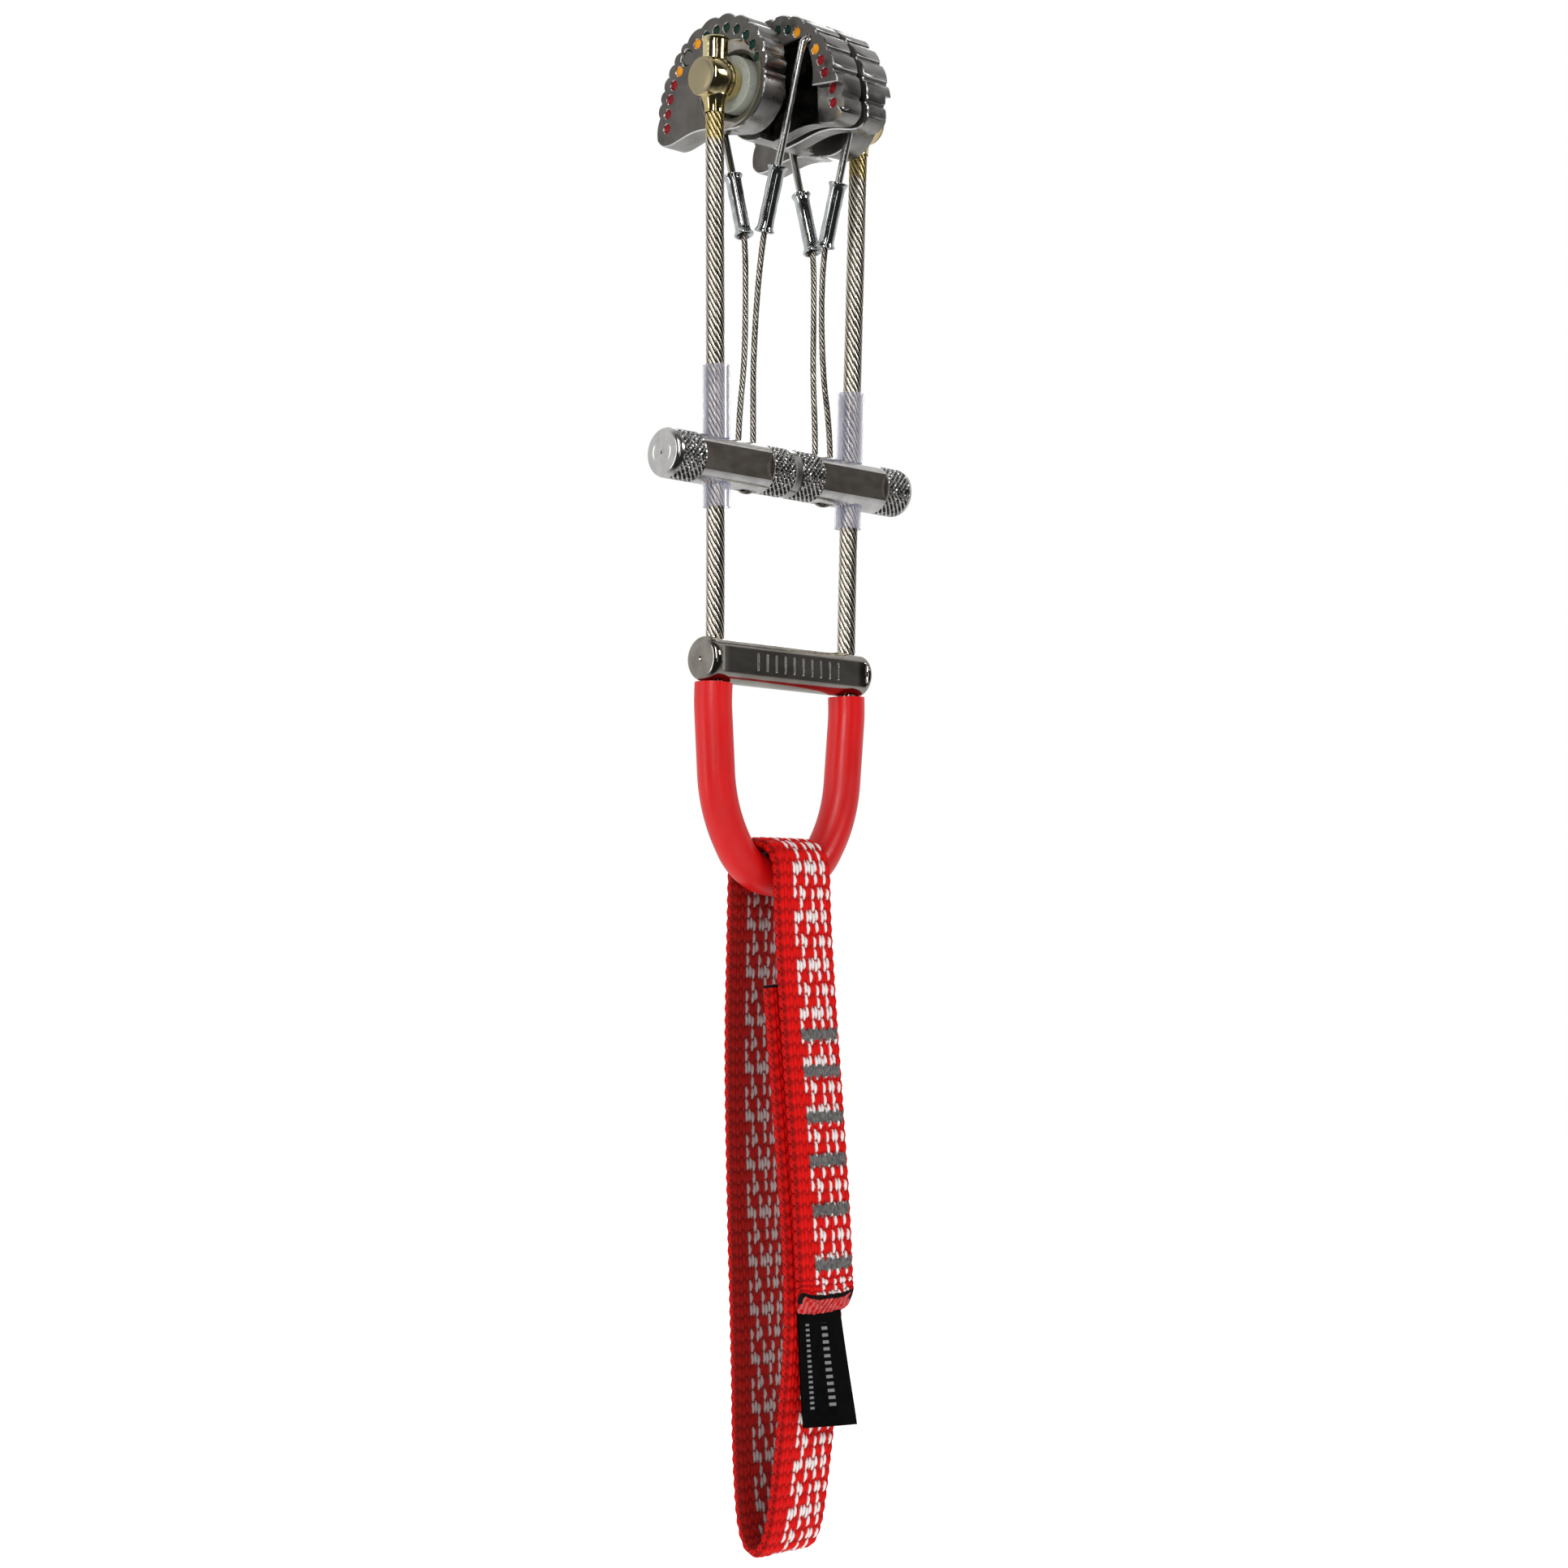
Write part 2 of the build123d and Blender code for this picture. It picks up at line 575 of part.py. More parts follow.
TACK_SIZE = (8.9, 1.6, 0.3)
TACK_CORNER = 0.5
TACK_GAP = 0.15
STRAP_SLOPE = 1.004          # length along the front strap for each unit of height
LABEL_SIZE = (12.4, 20.8)
LABEL_CENTRE = (3.2, -12.3, -244.2)
LABEL_HALF_THICKNESS = 0.3
lean = radians(SLING_LEAN)
sling_plane = Plane(origin=(0, 0, LOOP_Z), x_dir=(0, 1, 0), z_dir=(cos(lean), 0, sin(lean)))
sling_points = [(y, z - LOOP_Z) for y, z in SLING_ROUTE]
sling_radii = rounded_route([(y, 0, z) for y, z in SLING_ROUTE])

with BuildPart() as sling_webbing:
    with BuildSketch(sling_plane):
        with BuildLine() as sling_middle:
            sling_route = FilletPolyline(*sling_points, radius=sling_radii)
        trace(line_width=STRAP_THICKNESS)
    extrude(amount=STRAP_WIDTH / 2, both=True)
print("sling length", round(sling_route.length, 1))
finish_part(sling_webbing, "sling_webbing")

with BuildPart() as bar_tacks:
    for height in TACK_HEIGHTS:
        reach = (height - SLING_ROUTE[0][1]) * STRAP_SLOPE
        on_strap = sling_route.position_at(reach, position_mode=PositionMode.LENGTH)
        front = Plane(origin=sling_plane.from_local_coords(on_strap), x_dir=(1, 0, 0),
                      z_dir=(0, -1, 0))
        with BuildSketch(front.offset(STRAP_THICKNESS / 2 + TACK_GAP)):
            RectangleRounded(TACK_SIZE[0], TACK_SIZE[1], TACK_CORNER)
        extrude(amount=TACK_SIZE[2])
finish_part(bar_tacks, "bar_tacks")

with BuildPart() as sling_label:
    with BuildSketch(Plane(origin=LABEL_CENTRE, x_dir=(1, 0, 0), z_dir=(0, -1, 0))):
        Rectangle(*LABEL_SIZE)
    extrude(amount=LABEL_HALF_THICKNESS, both=True)
finish_part(sling_label, "sling_label")
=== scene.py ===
import json
import math

import bmesh
import bpy
import numpy as np
from mathutils import Matrix, Vector

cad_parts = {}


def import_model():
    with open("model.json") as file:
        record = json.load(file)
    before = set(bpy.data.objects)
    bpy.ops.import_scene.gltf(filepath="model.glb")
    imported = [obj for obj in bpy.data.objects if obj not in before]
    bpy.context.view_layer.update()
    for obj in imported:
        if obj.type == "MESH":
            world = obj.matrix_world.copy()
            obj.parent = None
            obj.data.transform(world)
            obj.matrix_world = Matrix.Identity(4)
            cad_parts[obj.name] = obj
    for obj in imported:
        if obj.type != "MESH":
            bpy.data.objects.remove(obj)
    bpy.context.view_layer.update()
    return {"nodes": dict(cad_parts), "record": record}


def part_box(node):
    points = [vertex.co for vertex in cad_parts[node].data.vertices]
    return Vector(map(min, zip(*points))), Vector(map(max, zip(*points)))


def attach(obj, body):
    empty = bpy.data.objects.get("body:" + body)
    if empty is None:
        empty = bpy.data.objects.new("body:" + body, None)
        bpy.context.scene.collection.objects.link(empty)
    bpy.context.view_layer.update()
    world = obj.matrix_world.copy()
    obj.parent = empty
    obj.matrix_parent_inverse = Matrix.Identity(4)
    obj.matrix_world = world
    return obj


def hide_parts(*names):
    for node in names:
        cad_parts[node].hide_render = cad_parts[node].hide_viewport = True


# Looks of a spring-loaded camming device. Lengths in the functions are millimetres
# in the row frame, and become metres when a mesh is made.
MM = 0.001
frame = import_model()
record = frame["record"]
JOINTS = {joint["name"]: joint for joint in record["behaviour"]["joints"]}

CAM_GROWTH = math.tan(math.radians(13.25))
DOT_ANGLES = [-16.1, -7.4, 1.6, 10.9, 20.8, 46.3, 57.4, 70.0, 83.4, 98.4, 115.6, 132.4, 150.8]
DOT_COLOURS = ["red"] * 4 + ["yellow"] * 2 + ["green"] * 7
# (x, z) of the stem cable's right half, from its terminal down to the bottom of the U.
STEM_ROUTE = [(19.7, -2.8), (19.6, -9.0), (17.5, -104.0), (18.0, -119.0), (16.4, -139.0), (8.4, -151.5)]
TRIGGER_Z = -73.3
THUMB_Z = -111.0
# Where the thin cables pass through the trigger bar, and their routes down to it.
HOLE_XS = [-12.3, -8.4, 8.4, 12.6]
LEG_TOPS = [(-9.35, 2.63, -26.4), (-8.3, -2.63, -26.4), (8.3, -2.63, -26.4), (9.35, 2.63, -26.4)]
LEG_ROUTES = [
    [(-9.35, 1.9, -29.5), (-9.7, 1.25, -40), (-10.6, 0.35, -53), (-12.2, 0.03, -64), (-12.3, 0, -69)],
    [(-8.3, -1.8, -29.5), (-8.6, -0.75, -40), (-8.75, -0.1, -53), (-8.45, 0.03, -64), (-8.4, 0, -69)],
    [(8.3, -1.8, -29.5), (8.8, -0.85, -40), (10.0, -0.35, -52.5), (12.4, -0.05, -63.5), (12.6, 0, -69)],
    [(9.35, 1.9, -29.5), (9.0, 1.4, -40), (8.35, 0.8, -53), (8.43, 0.05, -64), (8.4, 0, -69)],
]
# (y, z) of the webbing's middle: from its front cut end up and over the sheathed loop,
# down the back, round the bottom and up to the hidden end between the layers.
SLING_ROUTE = [
    (-12.9, -233.5), (-12.2, -219.0), (-10.4, -200.0), (-8.1, -178.0), (-6.3, -158.0),
    (-6.1, -145.0), (6.1, -145.0), (6.5, -160.0), (7.3, -185.0), (6.5, -215.0),
    (5.5, -240.0), (5.0, -260.0), (2.9, -277.9), (-3.6, -278.0), (-6.9, -262.0),
    (-9.2, -246.0), (-10.2, -233.0), (-9.6, -219.0), (-7.8, -200.0), (-4.9, -172.0),
]
LOOP_Z = -151.5
LEAN = math.radians(1.06)
STRAP_HALF_WIDTH = 6.8
STRAP_HALF_THICKNESS = 1.15
WEAVE_ROW = 2.3
TACK_HEIGHTS = [-181.3, -188.3, -196.7, -204.9, -213.9, -223.9]


# ---------------------------------------------------------------- meshes and routes
def make_object(name, points, faces, smooth_angle=35):
    """A mesh object from points in millimetres, smooth but for edges over the angle."""
    mesh = bpy.data.meshes.new(name)
    mesh.from_pydata((np.asarray(points) * MM).tolist(), [], faces)
    mesh.polygons.foreach_set("use_smooth", [True] * len(mesh.polygons))
    mesh.set_sharp_from_angle(angle=math.radians(smooth_angle))
    item = bpy.data.objects.new(name, mesh)
    bpy.context.scene.collection.objects.link(item)
    return item


def grid_faces(rows, columns, closed=True, offset=0):
    """Quads of a grid of points, row by row, closed across the columns."""
    faces = []
    last = columns if closed else columns - 1
    for i in range(rows - 1):
        for j in range(last):
            k = (j + 1) % columns
            faces.append((offset + i * columns + j, offset + (i + 1) * columns + j,
                          offset + (i + 1) * columns + k, offset + i * columns + k))
    return faces


def smooth_route(points, step):
    """Even points along the quadratic spline that has these points as its controls."""
    p = [np.array(point, float) for point in points]
    knots = [p[0]] + [(a + b) / 2 for a, b in zip(p[1:-2], p[2:-1])] + [p[-1]]
    line = []
    for start, control, end in zip(knots, p[1:-1], knots[1:]):
        for t in np.linspace(0, 1, 24, endpoint=False):
            line.append(start * (1 - t) ** 2 + control * 2 * t * (1 - t) + end * t * t)
    line = np.array(line + [p[-1]])
    along = np.concatenate([[0], np.cumsum(np.linalg.norm(np.diff(line, axis=0), axis=1))])
    at = np.linspace(0, along[-1], max(3, int(round(along[-1] / step)) + 1))
    return np.stack([np.interp(at, along, line[:, k]) for k in range(3)], axis=1)


def frames_along(line):
    """Unit tangents and two cross directions that don't twist along the line."""
    tangent = np.gradient(line, axis=0)
    tangent /= np.linalg.norm(tangent, axis=1)[:, None]
    start = np.cross(tangent[0], (0, 1, 0.01))
    first = [start / np.linalg.norm(start)]
    for t in tangent[1:]:
        carried = first[-1] - t * (first[-1] @ t)
        first.append(carried / np.linalg.norm(carried))
    first = np.array(first)
    return tangent, first, np.cross(tangent, first)


def tube_mesh(line, radius, sides, offset=0, capped=True):
    """Points and faces of a round tube along a line. radius is one number or one per point."""
    _, first, second = frames_along(line)
    radius = np.broadcast_to(radius, len(line))
    turn = np.linspace(0, 2 * math.pi, sides, endpoint=False)
    ring = first[:, None] * np.cos(turn)[None, :, None] + second[:, None] * np.sin(turn)[None, :, None]
    points = (line[:, None] + ring * radius[:, None, None]).reshape(-1, 3)
    faces = grid_faces(len(line), sides, offset=offset)
    if capped:
        end = offset + (len(line) - 1) * sides
        faces.append(tuple(offset + i for i in range(sides)))
        faces.append(tuple(end + i for i in reversed(range(sides))))
    return points, faces


def join_tubes(name, tubes, smooth_angle=50):
    """One object from (line, radius, sides) tubes."""
    points, faces, count = [], [], 0
    for line, radius, sides in tubes:
        new_points, new_faces = tube_mesh(np.asarray(line), radius, sides, count)
        points.append(new_points)
        faces += new_faces
        count += len(new_points)
    return make_object(name, np.concatenate(points), faces, smooth_angle)


def set_attribute(item, name, values):
    """A number on each point of an object, for its material to read."""
    attribute = item.data.attributes.new(name, "FLOAT", "POINT")
    attribute.data.foreach_set("value", values.astype(np.float32).ravel())


def strands(name, line, count, wire, outer, lay, look, sides=8):
    """A laid cable: count wires of one radius round a core painted near black as shade between them, turning
    once in each lay.
    """
    _, first, second = frames_along(line)
    step = np.linalg.norm(np.diff(line, axis=0), axis=1)
    along = np.concatenate([[0], np.cumsum(step)])
    tubes = []
    for k in range(count):
        turn = 2 * math.pi * (k / count - along / lay)
        ring = first * np.cos(turn)[:, None] + second * np.sin(turn)[:, None]
        tubes.append((line + ring * (outer - wire), wire, sides))
    # Painted shade: the dark core fills the grooves between the wires.
    core, core_faces = tube_mesh(line, outer - 1.4 * wire, 12)
    wires = join_tubes(name, tubes, 60)
    points = np.zeros(len(wires.data.vertices) * 3)
    wires.data.vertices.foreach_get("co", points)
    points = points.reshape(count, len(line), sides, 3) / MM
    out = (np.linalg.norm(points - line[None, :, None], axis=3) - (outer - wire)) / wire
    set_attribute(wires, "outward", out)
    heart = make_object("heart", core, core_faces)
    for face in heart.data.polygons:
        face.material_index = 1
    with bpy.context.temp_override(active_object=wires, selected_editable_objects=[wires, heart]):
        wires.data.materials.append(look.material)
        heart.data.materials.append(look.material)
        heart.data.materials.append(core_shade.material)
        bpy.ops.object.join()
    return wires


def rim_radius(angle):
    """Radius of the cam's rim at an angle in degrees."""
    return 21.0 * math.exp(-CAM_GROWTH * math.radians(angle + 9.1))


# ---------------------------------------------------------------- materials
class Look:
    """A node material: a Principled shader and helpers that feed it from object space."""

    def __init__(self, name, **sockets):
        self.material = bpy.data.materials.new(name)
        self.material.use_nodes = True
        self.tree = self.material.node_tree
        self.shader = self.tree.nodes["Principled BSDF"]
        for socket, value in sockets.items():
            self.shader.inputs[socket.replace("_", " ")].default_value = value
        self.place = self.node("ShaderNodeTexCoord").outputs["Object"]
        self.height = None

    def node(self, kind, inputs=None, **settings):
        made = self.tree.nodes.new(kind)
        for key, value in settings.items():
            setattr(made, key, value)
        for key, value in (inputs or {}).items():
            if isinstance(value, bpy.types.NodeSocket):
                self.tree.links.new(value, made.inputs[key])
            else:
                made.inputs[key].default_value = value
        return made

    def math(self, operation, *values, clamp=False):
        made = self.node("ShaderNodeMath", dict(enumerate(values)), operation=operation)
        made.use_clamp = clamp
        return made.outputs[0]

    def scaled(self, scale):
        return self.node("ShaderNodeMapping", {"Vector": self.place, "Scale": scale}).outputs[0]

    def noise(self, scale, detail=3.0, roughness=0.55):
        """Noise with a scale along each axis, in features per metre."""
        inputs = {"Vector": self.scaled(scale), "Scale": 1.0, "Detail": detail, "Roughness": roughness}
        return self.node("ShaderNodeTexNoise", inputs).outputs["Fac"]

    def ranged(self, value, low, high, to_low, to_high):
        inputs = {"Value": value, "From Min": low, "From Max": high, "To Min": to_low, "To Max": to_high}
        return self.node("ShaderNodeMapRange", inputs, interpolation_type="SMOOTHSTEP").outputs[0]

    def mix(self, share, low, high):
        inputs = {0: share, 6: low, 7: high}
        return self.node("ShaderNodeMix", inputs, data_type="RGBA").outputs[2]

    def feed(self, socket, value):
        self.tree.links.new(value, self.shader.inputs[socket])

    def fed(self, socket):
        """What feeds a socket of the shader so far."""
        return self.shader.inputs[socket].links[0].from_socket

    def tint(self, share, colour):
        """Lay a colour over the base colour by a share."""
        self.feed("Base Color", self.mix(share, self.fed("Base Color"), rgba(colour)))

    def within(self, value, middle, reach, fade):
        """1 where a value is less than reach from the middle, and 0 past a short fade."""
        away = self.math("ABSOLUTE", self.math("SUBTRACT", value, middle))
        return self.ranged(away, reach, reach + fade, 1.0, 0.0)

    def bump(self, height, strength, distance):
        inputs = {"Height": height, "Strength": strength, "Distance": distance}
        if self.height is not None:
            inputs["Normal"] = self.height
        self.height = self.node("ShaderNodeBump", inputs).outputs[0]
        self.feed("Normal", self.height)

    def axis(self, name):
        return self.node("ShaderNodeSeparateXYZ", {0: self.place}).outputs[name]


def rgba(colour):
    return (*colour, 1.0)


def worn(name, dark, light, rough, scale, grain, bump, **sockets):
    """A finish whose colour, roughness and surface vary: grain is the fine noise's scale."""
    look = Look(name, **sockets)
    patches = look.ranged(look.noise(scale), 0.3, 0.7, 0.0, 1.0)
    fine = look.noise(grain, 2.0)
    look.feed("Base Color", look.mix(patches, rgba(dark), rgba(light)))
    look.feed("Roughness", look.ranged(look.noise([2.3 * s for s in scale]), 0.3, 0.7, *rough))
    look.bump(fine, bump, 0.0002)
    return look


EVEN = (1, 1, 1)


def times(scale, shape=EVEN):
    return [scale * s for s in shape]


def wire_steel():
    """Bright drawn wire, dull on its headed ends in the outer lobes' faces."""
    look = worn("wire_steel", (0.6, 0.595, 0.58), (0.78, 0.77, 0.75), (0.14, 0.24),
                times(250), times(2500, (1, 1, 0.1)), 0.02, Metallic=1.0)
    heads = look.ranged(look.math("ABSOLUTE", look.axis("X")), 0.0148, 0.0151, 0.0, 1.0)
    look.tint(heads, (0.19, 0.18, 0.165))
    look.feed("Roughness", look.ranged(heads, 0.0, 1.0, 0.18, 0.5))
    return look


def braze():
    """Bright gold braze, duller on the faces at the ends of the axle."""
    look = worn("braze", (0.60, 0.45, 0.17), (0.82, 0.71, 0.42), (0.05, 0.16),
                times(240), times(420), 0.5, Metallic=1.0)
    ends = look.ranged(look.math("ABSOLUTE", look.axis("X")), 0.0230, 0.02345, 0.0, 1.0)
    look.tint(ends, (0.42, 0.36, 0.225))
    look.feed("Roughness", look.mix(ends, look.fed("Roughness"), rgba((0.36, 0.36, 0.36))))
    return look


def bar_turned():
    """Turned metal, with painted shade in the knurl's grooves, by the distance from the bar's axis."""
    look = worn("bar_turned", (0.58, 0.57, 0.555), (0.72, 0.71, 0.695), (0.14, 0.24),
                times(300), times(2600), 0.05, Metallic=1.0)
    axis_at = (0, 0, TRIGGER_Z * MM)
    off = look.node("ShaderNodeVectorMath", {0: look.place, 1: axis_at}, operation="SUBTRACT")
    off = look.node("ShaderNodeVectorMath", {0: off.outputs[0], 1: (0, 1, 1)}, operation="MULTIPLY")
    off = look.node("ShaderNodeVectorMath", {0: off.outputs[0]}, operation="LENGTH").outputs["Value"]
    # Painted shade: the knurl's grooves, nearer the bar's axis, are tinted dark.
    banded = look.math("LESS_THAN", look.math("ABSOLUTE", look.axis("X")), 0.03045)
    look.tint(look.math("MULTIPLY", look.ranged(off, 0.00446, 0.00468, 0.96, 0.0), banded),
              (0.10, 0.096, 0.09))
    return look


blasted = worn("cam_blasted", (0.155, 0.145, 0.132), (0.21, 0.197, 0.182), (0.42, 0.6),
               times(160), times(14000), 0.3, Metallic=1.0)
polished = worn("cam_rim", (0.19, 0.183, 0.175), (0.38, 0.372, 0.358), (0.14, 0.28),
                times(120), times(2600, (6, 1, 1)), 0.04, Metallic=1.0)
satin = worn("cam_underside", (0.26, 0.25, 0.236), (0.42, 0.408, 0.388), (0.2, 0.36),
             times(140), times(2400, (5, 1, 1)), 0.15, Metallic=1.0)
chamfered = worn("cam_chamfer", (0.75, 0.75, 0.74), (0.95, 0.95, 0.94), (0.12, 0.25),
                 times(400), times(4000), 0.05, Metallic=1.0)
# The pocket's colour is darker than the faces: partly the finish, partly painted shade in the recess.
pocket = worn("cam_pocket", (0.05, 0.05, 0.05), (0.19, 0.185, 0.18), (0.2, 0.4),
              times(150), times(3000), 0.2, Metallic=1.0)
dished = worn("cam_dish", (0.30, 0.28, 0.24), (0.5, 0.47, 0.41), (0.08, 0.2),
              times(260), times(3000), 0.05, Metallic=1.0)


def paint_look(colour, dark, light):
    """Glossy enamel of the range dots."""
    return worn(f"paint_{colour}", dark, light, (0.3, 0.45), times(900), times(4000), 0.1,
                Specular_IOR_Level=0.25)


paint_red = paint_look("red", (0.15, 0.0, 0.003), (0.27, 0.001, 0.005))
paint_yellow = paint_look("yellow", (0.70, 0.26, 0.002), (0.85, 0.36, 0.006))
paint_green = paint_look("green", (0.0, 0.016, 0.009), (0.0, 0.035, 0.02))
steel = wire_steel()
plated = worn("ferrule_plate", (0.46, 0.48, 0.475), (0.74, 0.765, 0.775), (0.05, 0.12),
              times(380), times(700), 0.1, Metallic=1.0)
spring = worn("spring_wire", (0.12, 0.11, 0.1), (0.3, 0.28, 0.26), (0.25, 0.4),
              times(400), times(3000), 0.1, Metallic=1.0)
brass = braze()
nylon = worn("nylon", (0.42, 0.44, 0.38), (0.47, 0.49, 0.43), (0.25, 0.35),
             times(160), times(1200), 0.02, Transmission_Weight=0.15, IOR=1.3)
# The blue emission is painted light: a faint glow for the light scattered in the plastic over the cable.
milky = worn("sleeve_plastic", (0.66, 0.62, 0.57), (0.76, 0.73, 0.69), (0.06, 0.16), times(200),
             times(1500, (1, 1, 0.2)), 0.05, Transmission_Weight=0.92, IOR=1.25,
             Emission_Color=(0.10, 0.19, 0.50, 1.0), Emission_Strength=0.11)
# Painted shade: a near-black core that stands for the shade between a cable's wires.
core_shade = worn("cable_core_shade", (0.01, 0.009, 0.007), (0.03, 0.027, 0.022), (0.4, 0.6),
                   times(900), times(4000), 0.1, Metallic=1.0)
turned = bar_turned()
milled = worn("bar_flat", (0.165, 0.144, 0.121), (0.2, 0.178, 0.155), (0.28, 0.36),
              times(240, (0.5, 1, 1)), times(2600, (0.12, 1, 2)), 0.04, Metallic=1.0)
sheath_red = worn("sheath_plastic", (0.52, 0.001, 0.002), (0.68, 0.003, 0.004), (0.3, 0.42),
                  times(60, (1, 1, 0.4)), times(1400), 0.12)
thread = worn("tack_thread", (0.085, 0.08, 0.076), (0.2, 0.19, 0.182), (0.6, 0.85),
              times(1500), times(9000), 0.5)


def raised(look):
    """0 in the grooves between strands and 1 on their crowns."""
    outward = look.node("ShaderNodeAttribute", attribute_name="outward").outputs["Fac"]
    return look.ranged(outward, 0.3, 0.85, 0.0, 1.0)


def cable_look():
    """Bare steel wires, with gold braze run down over them below the terminals, and painted shade in the
    grooves between the wires.
    """
    look = Look("stem_wire", Metallic=1.0)
    height = look.axis("Z")
    streaks = look.noise(times(450, (1, 1, 0.3)))
    level = look.math("ADD", height, look.math("MULTIPLY", streaks, 0.004))
    brazed = look.ranged(level, -0.0105, -0.0085, 0.0, 1.0)
    bare = look.mix(look.noise(times(500, (1, 1, 0.5))), rgba((0.74, 0.68, 0.56)), rgba((0.92, 0.86, 0.74)))
    # Painted shade: bare and brazed wires go dark towards the grooves between them.
    bare = look.mix(raised(look), rgba((0.012, 0.010, 0.007)), bare)
    gold = look.mix(raised(look), rgba((0.3, 0.2, 0.06)), rgba((0.78, 0.64, 0.3)))
    look.feed("Base Color", look.mix(brazed, bare, gold))
    look.feed("Roughness", look.ranged(look.noise(times(500)), 0.3, 0.7, 0.12, 0.3))
    look.bump(look.noise(times(2500)), 0.08, 0.0001)
    return look


def stamped_look():
    """Polished nickel flat with a row of plain stamped strokes."""
    look = worn("thumb_metal", (0.27, 0.246, 0.215), (0.40, 0.372, 0.335), (0.08, 0.16),
                times(200, (0.5, 1, 1)), times(2400, (0.15, 1, 1)), 0.05, Metallic=1.0)
    x, z = look.axis("X"), look.axis("Z")
    stroke = look.math("PINGPONG", x, 0.0012)
    near = look.ranged(stroke, 0.00014, 0.0003, 1.0, 0.0)
    high = look.within(z, THUMB_Z * MM, 0.0015, 0.0002)
    wide = look.within(x, 0.0012, 0.0112, 0.0001)
    front = look.ranged(look.axis("Y"), -0.0034, -0.0032, 1.0, 0.0)
    mark = look.math("MULTIPLY", look.math("MULTIPLY", near, high), look.math("MULTIPLY", wide, front))
    look.tint(look.math("MULTIPLY", mark, 0.6), (0.85, 0.83, 0.80))
    look.bump(look.math("SUBTRACT", 1.0, mark), 1.0, 0.0003)
    return look


def webbing_look():
    """Woven polyester: yarn colours from the weave's attributes, and fine filaments along it."""
    look = Look("webbing_yarn", Specular_IOR_Level=0.1)
    white = look.node("ShaderNodeAttribute", attribute_name="white").outputs["Fac"]
    shade = look.node("ShaderNodeAttribute", attribute_name="shade").outputs["Fac"]
    uv = look.node("ShaderNodeUVMap", uv_map="weave").outputs[0]
    patches = look.noise(times(900), 4.0)
    red = look.mix(patches, rgba((0.58, 0.001, 0.002)), rgba((0.86, 0.008, 0.005)))
    pale = look.mix(patches, rgba((0.72, 0.64, 0.62)), rgba((0.95, 0.93, 0.92)))
    yarn = look.mix(white, red, pale)
    inner = look.node("ShaderNodeAttribute", attribute_name="inner").outputs["Fac"]
    burnt = look.node("ShaderNodeAttribute", attribute_name="burnt").outputs["Fac"]
    yarn = look.mix(shade, yarn, rgba((0.09, 0.001, 0.001)))
    # Faces on the loop's inside are darker: partly the weave's reverse side, partly painted shade.
    yarn = look.mix(inner, yarn, rgba((0.06, 0.008, 0.006)))
    uneven = look.math("MULTIPLY", look.noise(times(650), 4.0), 0.9)
    scorch = look.ranged(look.math("ADD", burnt, uneven), 0.72, 1.0, 0.0, 1.0)
    look.feed("Base Color", look.mix(scorch, yarn, rgba((0.008, 0.005, 0.005))))
    look.feed("Roughness", look.ranged(patches, 0.3, 0.7, 0.5, 0.75))
    fibre = look.node("ShaderNodeMapping", {"Vector": uv, "Scale": (1.0, 0.1, 1.0)}).outputs[0]
    filaments = look.node("ShaderNodeTexNoise", {"Vector": fibre, "Scale": 7000.0, "Detail": 1.0})
    look.bump(filaments.outputs["Fac"], 0.6, 0.00012)
    return look


def label_look():
    """Black woven satin tape with two rows of plain dashes."""
    look = worn("label_satin", (0.0008, 0.0008, 0.0009), (0.002, 0.002, 0.0024), (0.55, 0.7),
                times(500), times(9000, (0.3, 1, 1)), 0.15, Specular_IOR_Level=0.08)
    tape = look.node("ShaderNodeUVMap", uv_map="tape").outputs[0]
    uv = look.node("ShaderNodeSeparateXYZ", {0: tape}).outputs
    for place, wide, pitch in ((0.2, 0.035, 0.045), (0.58, 0.06, 0.06)):
        near = look.within(uv["X"], place, wide, 0.01)
        dash = look.ranged(look.math("PINGPONG", uv["Y"], pitch / 2), 0.0, pitch / 2, 0.0, 1.0)
        inside = look.math("MULTIPLY", look.ranged(uv["Y"], 0.1, 0.11, 0.0, 1.0),
                           look.ranged(uv["Y"], 0.84, 0.85, 1.0, 0.0))
        mark = look.math("MULTIPLY", look.math("MULTIPLY", near, inside),
                         look.math("GREATER_THAN", dash, 0.55))
        look.tint(mark, (0.22, 0.22, 0.23))
    return look


def thin_look():
    """Small dull strands with painted shade in the grooves between them."""
    look = worn("thin_cable", (0.36, 0.33, 0.28), (0.62, 0.58, 0.51), (0.2, 0.36),
                times(900), times(6000), 0.1, Metallic=1.0)
    unshaded = look.fed("Base Color")
    # Painted shade: the strands go near black towards their grooves.
    look.feed("Base Color", look.mix(raised(look), rgba((0.02, 0.017, 0.013)), unshaded))
    return look


stem_wire = cable_look()
thin_wire = thin_look()
thumb_metal = stamped_look()
webbing = webbing_look()
label_satin = label_look()


def paint(item, *looks):
    """Give an object its materials, in order."""
    if item.data.materials:
        item.data.materials.clear()
    for look in looks:
        item.data.materials.append(look.material)
    return item


def finish_piece(item, body, slot, *nodes):
    """The piece moves with a body and stands for CAD nodes, which it hides. slot is not used."""
    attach(item, body)
    if nodes:
        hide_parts(*nodes)
    return item


# ---------------------------------------------------------------- cam lobes
LOBE_LOOKS = [blasted, polished, chamfered, satin, pocket, dished, paint_red, paint_yellow, paint_green]
BLASTED, POLISHED, CHAMFERED, SATIN, POCKET, DISHED = range(6)
DOT_LOOKS = {"red": 6, "yellow": 7, "green": 8}
# Distance from the middle plane of each kind's outer and inner side face.
LOBE_SIDES = {"outer": (15.74, 10.2), "inner": (7.42, 0.8)}
STEP_DEPTH = 1.64
DOT_SIDES = 24


